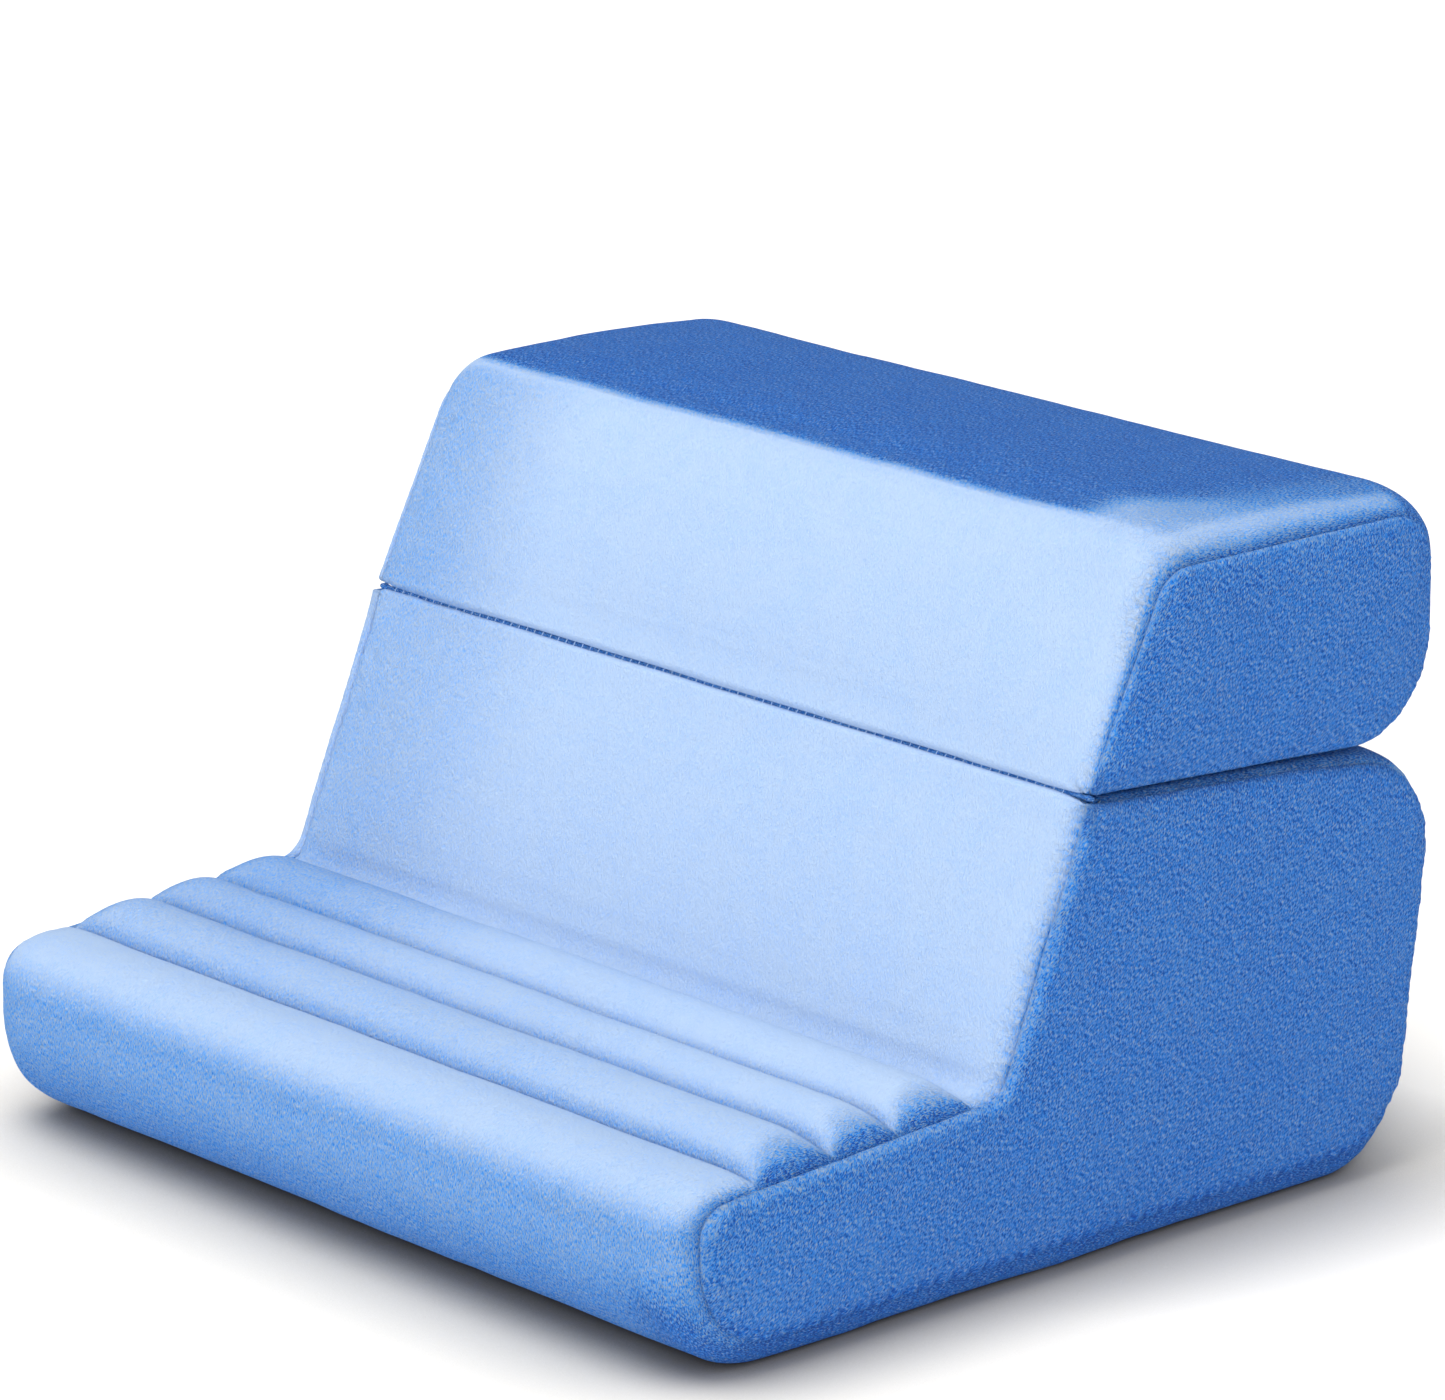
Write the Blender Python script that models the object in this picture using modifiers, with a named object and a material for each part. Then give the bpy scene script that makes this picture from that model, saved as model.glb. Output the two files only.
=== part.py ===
"""Tablet cushion stand: a base block with a ribbed tray, and a top block sewn to it at the front crease.

Metres, +Z up. X runs along the cushion's width and Y from its front roll to its rear.
The origin is the middle of the underside. Each block is a foam core in a plush cover, and a
cover is one band sewn round the block with one panel at each end.
"""
import math

import bmesh
import bpy
from mathutils import Vector

# Driving dimensions; the cleft is measured at the crease, and the top block from there up
SEAM_HALF_WIDTH = 0.1395
DEPTH = 0.2670
CLEFT_HEIGHT = 0.1245
TOP_BLOCK_HEIGHT = 0.0545
COVER = 0.0020
CLEARANCE = 0.0004
CORE_CLEARANCE = 0.0008
PANEL_BULGE = 0.0022

# How the cleft between the blocks falls from the crease towards the rear
CLEFT_SLOPE = -0.0670
CREASE_RADIUS = 0.0020
CREASE_CROWN = 0.0010
CLEFT_CROWN = 0.0050

# How far the band crowns beyond the side seams, and over what run
CROWN_RUN = 0.0160
UNDER_CROWN = 0.0080
FRONT_CROWN = 0.0075
ROLL_CROWN = 0.0045
FACE_CROWN = 0.0030
REAR_CROWN = 0.0045
TOP_CROWN = 0.0090
TOP_REAR_CROWN = 0.0055
TOP_FACE_CROWN = 0.0040

# Base block, at its side seam
ROLL_SEAM_HEIGHT = 0.0466
ROLL_LOWER_RADIUS = 0.0240
ROLL_UPPER_RADIUS = 0.0090
TRAY_SLOPE = 0.0615
TRAY_CORNER_RADIUS = 0.0090
FACE_LEAN = math.radians(22.4)
FACE_FOOT_GAP = 0.0095
BASE_REAR_SETBACK = 0.0015
BASE_REAR_LEAN = math.radians(7.2)
BASE_REAR_RADIUS = 0.0260
HEEL_RADIUS = 0.0220

# Ribs on the tray, from the first sewn groove to the last; the roll lies in front of them
ROLL_SEAM_DEPTH = 0.0208
RIB_PITCHES = (0.0248, 0.0214, 0.0249)
RIB_NAMES = ("front", "middle", "rear")
RIB_RISE = 0.0080
RIB_RUN = 0.0140
RIB_STEPS = 8
ROLL_STEPS = 4
FILLING_END_INSET = 0.0060

# Top block, at its side seam
TOP_FACE_STEP = 0.0005
TOP_FACE_LEAN = math.radians(26.6)
TOP_FRONT_RADIUS = 0.0120
TOP_REAR_RADIUS = 0.0150
TOP_UNDER_RADIUS = 0.0270

# Which corner of each block's outline lies at the crease, and the sewn hinge in the notch there
BASE_CREASE_CORNER = 3
TOP_CREASE_CORNER = 0
HINGE_RADIUS = 0.0010
HINGE_END_INSET = 0.0040
HINGE_SIDES = 12

SIDES = (("left", -1.0), ("right", 1.0))

# Distances from the end at which cross-sections stand
BAND_STATIONS = (0.0, 0.0012, 0.0040, 0.0090, 0.0160, 0.0550)
CORE_STATIONS = (0.0, 0.0040, 0.0110, 0.0550)
FILLING_STATIONS = (0.0, 0.0040, 0.0100, 0.0500)
# Side panel rings: inset from the seam, and share of the panel's full thickness
PANEL_RINGS = ((0.0, 0.0), (0.0, 0.30), (0.0012, 0.60), (0.0050, 0.86), (0.0110, 1.0))

# Pieces of each straight run, in the order of the corners that they follow, and which run is the tray
BASE_CUTS = (3, 3, 4, 3, 1, 2)
TOP_CUTS = (4, 2, 3, 3)
TRAY_RUN = 4
# A rounded corner is cut into pieces of about this angle, and sharper edges than the second stay sharp
ARC_STEP = math.radians(15.0)
SHARP_ANGLE = math.radians(40.0)

# Finishes: colour and roughness
BAND_PLUSH = ((0.235, 0.445, 0.830, 1.0), 0.85)
PANEL_PLUSH = ((0.110, 0.275, 0.650, 1.0), 0.85)
FOAM = ((0.800, 0.780, 0.700, 1.0), 0.90)
WADDING = ((0.860, 0.870, 0.880, 1.0), 0.95)
THREAD = ((0.150, 0.330, 0.720, 1.0), 0.80)

# A foam core or a filling lies inside its cover by this much
CORE_INSET = COVER + CORE_CLEARANCE


class Corner:
    """A corner of an outline at the seam: its rounding, and the band's crown before and after it."""

    def __init__(self, y, z, radius, crown_before, crown_after):
        self.point = Vector((y, z))
        self.radius = radius
        self.crown_before = crown_before
        self.crown_after = crown_after


class Station:
    """A point on a rounded outline, with its outward normal and the band's crown there."""

    def __init__(self, point, normal, crown, on_tray=False):
        self.point = point
        self.normal = normal
        self.crown = crown
        self.on_tray = on_tray


def outward(direction):
    """The outward normal of an edge of an outline that runs anticlockwise, seen from +X."""
    return Vector((direction.y, -direction.x))


def edge_directions(corners, index):
    """The directions in which the outline arrives at a corner and leaves it."""
    here = corners[index].point
    arriving = (here - corners[index - 1].point).normalized()
    leaving = (corners[(index + 1) % len(corners)].point - here).normalized()
    return arriving, leaving


def inset_corners(corners, inset):
    """The same corners with every edge moved in by one distance."""
    moved = []
    for index, corner in enumerate(corners):
        arriving, leaving = edge_directions(corners, index)
        convex = arriving.cross(leaving) > 0.0
        bisector = (outward(arriving) + outward(leaving)).normalized()
        place = corner.point - bisector * inset / bisector.dot(outward(arriving))
        radius = max(corner.radius - inset, CREASE_RADIUS / 2.0) if convex else corner.radius + inset
        moved.append(Corner(place.x, place.y, radius, corner.crown_before, corner.crown_after))
    return moved


def arc_of(corners, index):
    """A corner's rounding: arriving direction, turn, start, end and centre of its arc."""
    arriving, leaving = edge_directions(corners, index)
    corner = corners[index]
    turn = math.atan2(arriving.cross(leaving), arriving.dot(leaving))
    reach = corner.radius * math.tan(abs(turn) / 2.0)
    start = corner.point - arriving * reach
    centre = start - outward(arriving) * math.copysign(corner.radius, turn)
    return arriving, turn, start, corner.point + leaving * reach, centre


def edge_crown(corners, index, point):
    """The band's crown at a point on the edge that follows a corner."""
    corner = corners[index]
    following = corners[(index + 1) % len(corners)]
    share = (point - corner.point).length / (following.point - corner.point).length
    return corner.crown_after * (1.0 - share) + following.crown_before * share


def arc_stations(corners, index):
    arriving, turn, start, end, centre = arc_of(corners, index)
    corner = corners[index]
    crown_before = edge_crown(corners, index - 1, start)
    crown_after = edge_crown(corners, index, end)
    first = outward(arriving)
    steps = max(2, round(abs(turn) / ARC_STEP))
    stations = []
    for step in range(steps + 1):
        share = step / steps
        cosine = math.cos(turn * share)
        sine = math.sin(turn * share)
        normal = Vector((first.x * cosine - first.y * sine, first.x * sine + first.y * cosine))
        crown = crown_before * (1.0 - share) + crown_after * share
        stations.append(Station(centre + normal * math.copysign(corner.radius, turn), normal, crown))
    return stations


def edge_stations(corners, index, shares):
    """Points along the straight run that follows a corner, at the given shares of its length."""
    start = arc_of(corners, index)[3]
    end = arc_of(corners, (index + 1) % len(corners))[2]
    normal = outward((end - start).normalized())
    points = [start.lerp(end, share) for share in shares]
    return [Station(point, normal, edge_crown(corners, index, point)) for point in points]


def even_shares(count):
    return [step / count for step in range(1, count)]


def rounded_outline(corners, cuts):
    """All points round an outline; cuts gives the number of pieces of each straight run."""
    stations = []
    for index in range(len(corners)):
        stations += arc_stations(corners, index)
        stations += edge_stations(corners, index, even_shares(cuts[index]))
    return stations


def swell(distance, run):
    """The share of the full crown at this distance from a seam: a quarter of an ellipse."""
    share = min(max(distance / run, 0.0), 1.0)
    return math.sqrt(1.0 - (1.0 - share) ** 2)


def dome(offset, half_width):
    """The share of the full rise at this offset from the middle of a rib: half of an ellipse."""
    share = min(abs(offset) / half_width, 1.0)
    return math.sqrt(1.0 - share ** 2)


def cleft_z(y, rise):
    """A height above or below the middle of the cleft."""
    return CLEFT_HEIGHT + CLEFT_SLOPE * (y - crease_y()) + rise


def front_seam_y():
    return -DEPTH / 2.0 + FRONT_CROWN


def tray_z(y):
    """Height of the tray at its side seam and in its sewn grooves."""
    return ROLL_SEAM_HEIGHT + TRAY_SLOPE * (y - front_seam_y())


def groove_ys():
    grooves = [front_seam_y() + ROLL_SEAM_DEPTH]
    for pitch in RIB_PITCHES:
        grooves.append(grooves[-1] + pitch)
    return grooves


def crease_z():
    """Height of the base block's edge at the crease, at its side seam."""
    return CLEFT_HEIGHT - CLEARANCE / 2.0 - CREASE_CROWN


def face_foot_y():
    return groove_ys()[-1] + FACE_FOOT_GAP


def crease_y():
    """Where the face, leaning back from its foot on the tray, reaches the cleft."""
    foot_y = face_foot_y()
    return foot_y + (crease_z() - tray_z(foot_y)) * math.tan(FACE_LEAN)


def base_rear_y():
    return DEPTH / 2.0 - BASE_REAR_SETBACK


def base_corners():
    """The base block's seam outline, anticlockwise from the front of the underside."""
    front = front_seam_y()
    foot_y = face_foot_y()
    rear_y = base_rear_y()
    rear_z = cleft_z(rear_y, -CLEARANCE / 2.0 - CLEFT_CROWN)
    heel_y = rear_y - (rear_z - UNDER_CROWN) * math.tan(BASE_REAR_LEAN)
    return [
        Corner(front, UNDER_CROWN, ROLL_LOWER_RADIUS, FRONT_CROWN, UNDER_CROWN),
        Corner(heel_y, UNDER_CROWN, HEEL_RADIUS, UNDER_CROWN, REAR_CROWN),
        Corner(rear_y, rear_z, BASE_REAR_RADIUS, REAR_CROWN, CLEFT_CROWN),
        Corner(crease_y(), crease_z(), CREASE_RADIUS, CREASE_CROWN, CREASE_CROWN),
        Corner(foot_y, tray_z(foot_y), TRAY_CORNER_RADIUS, FACE_CROWN, 0.0),
        Corner(front, tray_z(front), ROLL_UPPER_RADIUS, ROLL_CROWN, FRONT_CROWN),
    ]


def top_corners():
    """The top block's seam outline, anticlockwise from its foot at the crease."""
    rear = DEPTH / 2.0 - REAR_CROWN
    foot_y = crease_y() + TOP_FACE_STEP
    foot_z = cleft_z(foot_y, CLEARANCE / 2.0 + CREASE_CROWN)
    head_z = CLEFT_HEIGHT + TOP_BLOCK_HEIGHT
    head_y = foot_y + (head_z - foot_z) * math.tan(TOP_FACE_LEAN)
    rear_z = cleft_z(rear, CLEARANCE / 2.0 + CLEFT_CROWN)
    return [
        Corner(foot_y, foot_z, CREASE_RADIUS, CREASE_CROWN, CREASE_CROWN),
        Corner(rear, rear_z, TOP_UNDER_RADIUS, CLEFT_CROWN, REAR_CROWN),
        Corner(rear, head_z, TOP_REAR_RADIUS, REAR_CROWN, TOP_REAR_CROWN),
        Corner(head_y, head_z, TOP_FRONT_RADIUS, TOP_CROWN, TOP_FACE_CROWN),
    ]


def tray_stations(corners, ribbed, inset):
    """Points along the tray from its rear to the roll: over the ribs if ribbed, then over the roll."""
    start = arc_of(corners, TRAY_RUN)[3]
    end = arc_of(corners, TRAY_RUN + 1)[2]
    grooves = groove_ys()
    places = [grooves[-1]]
    if ribbed:
        for index in reversed(range(len(RIB_PITCHES))):
            middle = (grooves[index] + grooves[index + 1]) / 2.0
            half = RIB_PITCHES[index] / 2.0
            for step in range(1, RIB_STEPS + 1):
                places.append(middle + half * math.cos(math.pi * step / RIB_STEPS))
    roll_edge = grooves[0] - inset
    if not ribbed:
        places.append(roll_edge)
    for step in range(1, ROLL_STEPS):
        angle = math.pi / 2.0 * step / ROLL_STEPS
        places.append(end.x + (roll_edge - end.x) * math.cos(angle))
    normal = outward((end - start).normalized())
    stations = []
    for y in places:
        share = (y - start.x) / (end.x - start.x)
        over_roll = ROLL_CROWN * dome(y - end.x, roll_edge - end.x) if y < roll_edge else 0.0
        stations.append(Station(start.lerp(end, share), normal, over_roll, True))
    return stations


def base_outline(inset=0.0, ribbed=False):
    corners = inset_corners(base_corners(), inset) if inset else base_corners()
    stations = []
    for index in range(len(corners)):
        stations += arc_stations(corners, index)
        if index == TRAY_RUN:
            stations += tray_stations(corners, ribbed, inset)
        else:
            stations += edge_stations(corners, index, even_shares(BASE_CUTS[index]))
    return stations


def top_outline(inset=0.0):
    corners = inset_corners(top_corners(), inset) if inset else top_corners()
    return rounded_outline(corners, TOP_CUTS)


def rib_rise(y):
    """Full height of the ribs over the tray at this place."""
    grooves = groove_ys()
    for index, pitch in enumerate(RIB_PITCHES):
        if grooves[index] < y < grooves[index + 1]:
            return RIB_RISE * dome(y - (grooves[index] + grooves[index + 1]) / 2.0, pitch / 2.0)
    return 0.0


def ring(outline, x, distance, ribbed=False):
    """The cross-section at x, this far from the seam."""
    points = []
    for station in outline:
        rise = station.crown * swell(distance, CROWN_RUN)
        if ribbed and station.on_tray:
            rise += rib_rise(station.point.x) * swell(distance, RIB_RUN)
        place = station.point + station.normal * rise
        points.append((x, place.x, place.y))
    return points


def mirrored_stations(half_width, distances):
    """Pairs of x and distance from the end, from the left end to the right."""
    left = [(distance - half_width, distance) for distance in distances]
    middle = [(0.0, half_width)]
    right = [(half_width - distance, distance) for distance in reversed(distances)]
    return left + middle + right


def loft(name, rings, capped):
    """A mesh through rings of the same number of points, listed from -X to +X."""
    shape = bmesh.new()
    rows = [[shape.verts.new(point) for point in points] for points in rings]
    count = len(rows[0])
    for lower, upper in zip(rows, rows[1:]):
        for index in range(count):
            after = (index + 1) % count
            shape.faces.new((lower[index], lower[after], upper[after], upper[index]))
    if capped:
        shape.faces.new(reversed(rows[0]))
        shape.faces.new(rows[-1])
    mesh = bpy.data.meshes.new(name)
    shape.to_mesh(mesh)
    shape.free()
    return mesh


def add_object(name, mesh, finish, parent, collection):
    mesh.shade_smooth()
    mesh.set_sharp_from_angle(angle=SHARP_ANGLE)
    mesh.materials.append(finish)
    result = bpy.data.objects.new(name, mesh)
    collection.objects.link(result)
    if parent is not None:
        result.parent = parent
        result.matrix_parent_inverse = parent.matrix_basis.inverted()
    return result


def add_band(name, outline, ribbed, finish, parent, collection):
    """A strip of plush sewn round a block, open at both ends."""
    places = mirrored_stations(SEAM_HALF_WIDTH, BAND_STATIONS)
    rings = [ring(outline, x, distance, ribbed) for x, distance in places]
    band = add_object(name, loft(name, rings, False), finish, parent, collection)
    wall = band.modifiers.new("Cover", "SOLIDIFY")
    wall.thickness = COVER
    wall.offset = -1.0
    return band


def add_core(name, outline, finish, parent, collection):
    """A foam block that fills its cover."""
    half_width = SEAM_HALF_WIDTH - CORE_INSET
    rings = [ring(outline, x, distance) for x, distance in mirrored_stations(half_width, CORE_STATIONS)]
    return add_object(name, loft(name, rings, True), finish, parent, collection)


def add_panel(name, outline_at, side, finish, parent, collection):
    """An end panel of plush over the seam, domed outwards; side is 1.0 at +X and -1.0 at -X."""
    start = SEAM_HALF_WIDTH + CLEARANCE
    thickness = COVER + PANEL_BULGE
    rings = []
    for inset, share in PANEL_RINGS:
        rings.append(ring(outline_at(inset), side * (start + thickness * share), 0.0))
    if side < 0.0:
        rings.reverse()
    return add_object(name, loft(name, rings, True), finish, parent, collection)


def add_filling(name, front, pitch, finish, parent, collection):
    """Wadding in one rib's sewn channel: a flat-bottomed roll on the foam under the tray."""
    middle = front + pitch / 2.0
    half_depth = pitch / 2.0 - CORE_INSET
    half_width = SEAM_HALF_WIDTH - FILLING_END_INSET
    seat = CLEARANCE - CORE_INSET
    rings = []
    for x, distance in mirrored_stations(half_width, FILLING_STATIONS):
        end_share = swell(distance + FILLING_END_INSET - CORE_INSET, RIB_RUN)
        rise = (RIB_RISE - CLEARANCE) * end_share
        points = []
        for step in range(RIB_STEPS + 1):
            y = middle + half_depth * math.cos(math.pi * step / RIB_STEPS)
            z = tray_z(y) + seat + rise * dome(y - middle, half_depth)
            points.append((x, y, z))
        rings.append(points)
    return add_object(name, loft(name, rings, True), finish, parent, collection)


def crease_centre():
    """The hinge line: in the notch between the two rounded edges, clear of both by the same gap."""
    base = arc_of(base_corners(), BASE_CREASE_CORNER)[4]
    top = arc_of(top_corners(), TOP_CREASE_CORNER)[4]
    middle = (base + top) / 2.0
    across = (top - base).normalized()
    forward = Vector((-across.y, across.x))
    reach = CREASE_RADIUS + CREASE_CROWN + HINGE_RADIUS + CLEARANCE
    return middle + forward * math.sqrt(reach ** 2 - (top - base).length_squared / 4.0)


def add_hinge_seam(name, centre, finish, parent, collection):
    """The sewn line that joins the two covers."""
    half_width = SEAM_HALF_WIDTH - HINGE_END_INSET
    rings = []
    for x in (-half_width, half_width):
        points = []
        for step in range(HINGE_SIDES):
            angle = 2.0 * math.pi * step / HINGE_SIDES
            y = centre.x + HINGE_RADIUS * math.cos(angle)
            z = centre.y + HINGE_RADIUS * math.sin(angle)
            points.append((x, y, z))
        rings.append(points)
    return add_object(name, loft(name, rings, True), finish, parent, collection)


def new_finish(name, look):
    """A plain material with one colour and one roughness."""
    color, roughness = look
    result = bpy.data.materials.new(name)
    result.use_nodes = True
    shader = result.node_tree.nodes["Principled BSDF"]
    shader.inputs["Base Color"].default_value = color
    shader.inputs["Roughness"].default_value = roughness
    shader.inputs["Metallic"].default_value = 0.0
    return result


def clear_scene():
    for old in list(bpy.data.objects):
        bpy.data.objects.remove(old, do_unlink=True)


def build():
    clear_scene()
    collection = bpy.data.collections.new("tablet_cushion_stand")
    bpy.context.scene.collection.children.link(collection)

    centre = crease_centre()
    hinge = bpy.data.objects.new("top_block_hinge", None)
    hinge.location = (0.0, centre.x, centre.y)
    collection.objects.link(hinge)

    # Base block
    foam = new_finish("base_foam", FOAM)
    add_core("base_foam_core", base_outline(CORE_INSET), foam, None, collection)
    plush = new_finish("base_band_plush", BAND_PLUSH)
    add_band("base_cover_band", base_outline(ribbed=True), True, plush, None, collection)
    for side_name, side in SIDES:
        plush = new_finish("base_panel_plush_" + side_name, PANEL_PLUSH)
        add_panel("base_side_panel_" + side_name, base_outline, side, plush, None, collection)
    for rib_name, front, pitch in zip(RIB_NAMES, groove_ys(), RIB_PITCHES):
        wadding = new_finish("wadding_" + rib_name, WADDING)
        add_filling("rib_filling_" + rib_name, front, pitch, wadding, None, collection)
    thread = new_finish("seam_thread", THREAD)
    add_hinge_seam("hinge_seam", centre, thread, None, collection)

    # Top block
    foam = new_finish("top_foam", FOAM)
    add_core("top_foam_core", top_outline(CORE_INSET), foam, hinge, collection)
    plush = new_finish("top_band_plush", BAND_PLUSH)
    add_band("top_cover_band", top_outline(), False, plush, hinge, collection)
    for side_name, side in SIDES:
        plush = new_finish("top_panel_plush_" + side_name, PANEL_PLUSH)
        add_panel("top_side_panel_" + side_name, top_outline, side, plush, hinge, collection)


build()
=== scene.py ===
"""Looks of the tablet cushion stand: plush covers with turned seams, sewn ribs, thread, light and camera.

Metres, in the row frame: X runs along the cushion's width, its front faces -Y and +Z is up. Each block's
cover is made again at a fine grain, as one band and two side panels that meet in the valley of the seam.
"""
import math

import bpy
import numpy as np
from mathutils import Matrix, Vector
from mathutils.geometry import delaunay_2d_cdt
from mathutils.kdtree import KDTree


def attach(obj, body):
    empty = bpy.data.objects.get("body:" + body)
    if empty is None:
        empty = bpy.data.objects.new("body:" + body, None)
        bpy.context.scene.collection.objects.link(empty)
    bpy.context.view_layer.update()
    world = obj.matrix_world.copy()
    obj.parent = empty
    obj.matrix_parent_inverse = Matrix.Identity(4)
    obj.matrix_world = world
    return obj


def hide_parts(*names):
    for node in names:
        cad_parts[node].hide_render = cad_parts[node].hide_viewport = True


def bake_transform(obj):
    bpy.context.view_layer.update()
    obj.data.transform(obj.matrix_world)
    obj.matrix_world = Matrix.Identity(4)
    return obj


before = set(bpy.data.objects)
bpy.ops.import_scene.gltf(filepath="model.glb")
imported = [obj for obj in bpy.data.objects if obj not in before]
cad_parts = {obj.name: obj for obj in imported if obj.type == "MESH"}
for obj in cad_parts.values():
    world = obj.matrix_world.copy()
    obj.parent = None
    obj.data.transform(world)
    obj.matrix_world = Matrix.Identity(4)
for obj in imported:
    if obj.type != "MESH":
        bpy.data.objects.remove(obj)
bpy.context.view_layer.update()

MM = 0.001

# The seam outlines, as in the CAD model; the covers meet a little closer along the cleft
SEAM_HALF_WIDTH = 0.1395
DEPTH = 0.2670
CLEFT_HEIGHT = 0.1245
CLEFT_SLOPE = -0.0670
TOP_BLOCK_HEIGHT = 0.0545
CLEARANCE = 0.0004
FRONT_CROWN = 0.0075
UNDER_CROWN = 0.0080
ROLL_CROWN = 0.0045
FACE_CROWN = 0.0030
REAR_CROWN = 0.0045
CREASE_CROWN = 0.0008
CREASE_RADIUS = 0.0013
CAD_CREASE_RADIUS = 0.0011
BASE_CLEFT_CROWN = 0.0044
TOP_CLEFT_CROWN = 0.0019
TOP_CROWN = 0.0090
TOP_REAR_CROWN = 0.0055
TOP_FACE_CROWN = 0.0040
CROWN_RUN = 0.0160
FLOOR_CROWN_RUN = 0.0085
ROLL_SEAM_HEIGHT = 0.0466
TRAY_SLOPE = 0.0615
ROLL_SEAM_DEPTH = 0.0208
RIB_PITCHES = (0.0248, 0.0214, 0.0249)
RIB_RISE = 0.0080
RIB_RUN = 0.0170
FACE_FOOT_GAP = 0.0095
FACE_LEAN = math.radians(22.4)
TOP_FACE_STEP = 0.0005
TOP_FACE_LEAN = math.radians(26.6)
BASE_REAR_SETBACK = 0.0015
BASE_REAR_LEAN = math.radians(7.2)
TRAY_EDGE = 5

FRONT = -DEPTH / 2.0 + FRONT_CROWN


def tray_z(y):
    return ROLL_SEAM_HEIGHT + TRAY_SLOPE * (y - FRONT)


GROOVES = FRONT + ROLL_SEAM_DEPTH + np.concatenate([[0.0], np.cumsum(RIB_PITCHES)])
FOOT_Y = GROOVES[-1] + FACE_FOOT_GAP
CREASE_Z = CLEFT_HEIGHT - CLEARANCE / 2.0 - CREASE_CROWN
CREASE_Y = FOOT_Y + (CREASE_Z - tray_z(FOOT_Y)) * math.tan(FACE_LEAN)


def cleft_z(y, rise):
    return CLEFT_HEIGHT + CLEFT_SLOPE * (y - CREASE_Y) + rise


BASE_REAR = DEPTH / 2.0 - BASE_REAR_SETBACK
BASE_REAR_Z = cleft_z(BASE_REAR, -CLEARANCE / 2.0 - BASE_CLEFT_CROWN)
HEEL_Y = BASE_REAR - (BASE_REAR_Z - UNDER_CROWN) * math.tan(BASE_REAR_LEAN)
# The base's upper seam runs close under the top block and drops away only towards the rear
CLEFT_BEND_Y = CREASE_Y + 0.58 * (BASE_REAR - CREASE_Y)
CLEFT_BEND_CROWN = 0.0011
CLEFT_BEND_Z = cleft_z(CLEFT_BEND_Y, -CLEARANCE / 2.0 - CLEFT_BEND_CROWN)
TOP_REAR = DEPTH / 2.0 - REAR_CROWN
TOP_FOOT_Y = CREASE_Y + TOP_FACE_STEP
TOP_FOOT_Z = cleft_z(TOP_FOOT_Y, CLEARANCE / 2.0 + CREASE_CROWN)
TOP_HEAD_Z = CLEFT_HEIGHT + TOP_BLOCK_HEIGHT
TOP_HEAD_Y = TOP_FOOT_Y + (TOP_HEAD_Z - TOP_FOOT_Z) * math.tan(TOP_FACE_LEAN)
TOP_REAR_Z = cleft_z(TOP_REAR, CLEARANCE / 2.0 + TOP_CLEFT_CROWN)

# Corners of each outline: y, z, radius, crown before and after; then the belly of the edge that follows
BASE_CORNERS = (
    (FRONT, UNDER_CROWN, 0.0240, FRONT_CROWN, UNDER_CROWN, 0.0),
    (HEEL_Y, UNDER_CROWN, 0.0220, UNDER_CROWN, REAR_CROWN, 0.0012),
    (BASE_REAR, BASE_REAR_Z, 0.0260, REAR_CROWN + 0.0015, BASE_CLEFT_CROWN, 0.0),
    (CLEFT_BEND_Y, CLEFT_BEND_Z, 0.0400, CLEFT_BEND_CROWN, CLEFT_BEND_CROWN, 0.0),
    (CREASE_Y, CREASE_Z, CREASE_RADIUS, CREASE_CROWN, CREASE_CROWN, 0.0004),
    (FOOT_Y, tray_z(FOOT_Y), 0.0090, FACE_CROWN, 0.0, 0.0),
    (FRONT, tray_z(FRONT), 0.0090, ROLL_CROWN, FRONT_CROWN, 0.0),
)
TOP_CORNERS = (
    (TOP_FOOT_Y, TOP_FOOT_Z, CREASE_RADIUS, CREASE_CROWN, CREASE_CROWN, 0.0),
    (TOP_REAR, TOP_REAR_Z, 0.0270, TOP_CLEFT_CROWN, REAR_CROWN + 0.0020, 0.0010),
    (TOP_REAR, TOP_HEAD_Z, 0.0150, REAR_CROWN + 0.0020, TOP_REAR_CROWN, 0.0020),
    (TOP_HEAD_Y, TOP_HEAD_Z, 0.0120, TOP_CROWN, TOP_FACE_CROWN, 0.0014),
)

# How fine the covers are
EDGE_STEP = 1.0 * MM
ARC_LENGTH = 1.0 * MM
ARC_ANGLE = math.radians(6.0)
RIB_POINTS = 26
ROLL_POINTS = 18
PANEL_PITCH = 1.35 * MM
# Distances from a seam at which the band's rows stand, then its pitch in the middle
BAND_ROWS = MM * np.array([
    0.0, 0.25, 0.55, 0.9, 1.3, 1.8, 2.4, 3.1, 3.9, 4.8, 5.8, 6.9, 8.1, 9.4,
    10.8, 12.3, 14.0, 16.0, 18.5, 21.5, 25.0,
])
BAND_PITCH = 4.4 * MM

# The turned seam: how deep its valley lies, how far its edge rolls, and the panel's rim as inset and rise
SEAM_DEPTH = 1.5 * MM
SEAM_ROLL = 3.0 * MM
PANEL_RIM = MM * np.array([
    (1.50, 0.00), (1.00, 0.15), (0.55, 0.48), (0.25, 0.98), (0.15, 1.58), (0.28, 2.25),
    (0.66, 2.88), (1.28, 3.40), (2.15, 3.82), (3.25, 4.14), (4.55, 4.35),
])
# The top block's rims roll less than the base's, so that its panels lie almost flush with the seam
TOP_ROLL = 0.55
PANEL_SETTLE = 9.0 * MM
PANEL_SWELL = 1.25 * MM
# Stitches pull the seam in, finely all round and in wider pleats along the floor
STITCH_PITCH = 3.4 * MM
STITCH_PULL = 0.75 * MM
PLEAT_PITCH = 5.6 * MM
PLEAT_PULL = 1.70 * MM
SEAM_WANDER = 0.45 * MM
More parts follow.
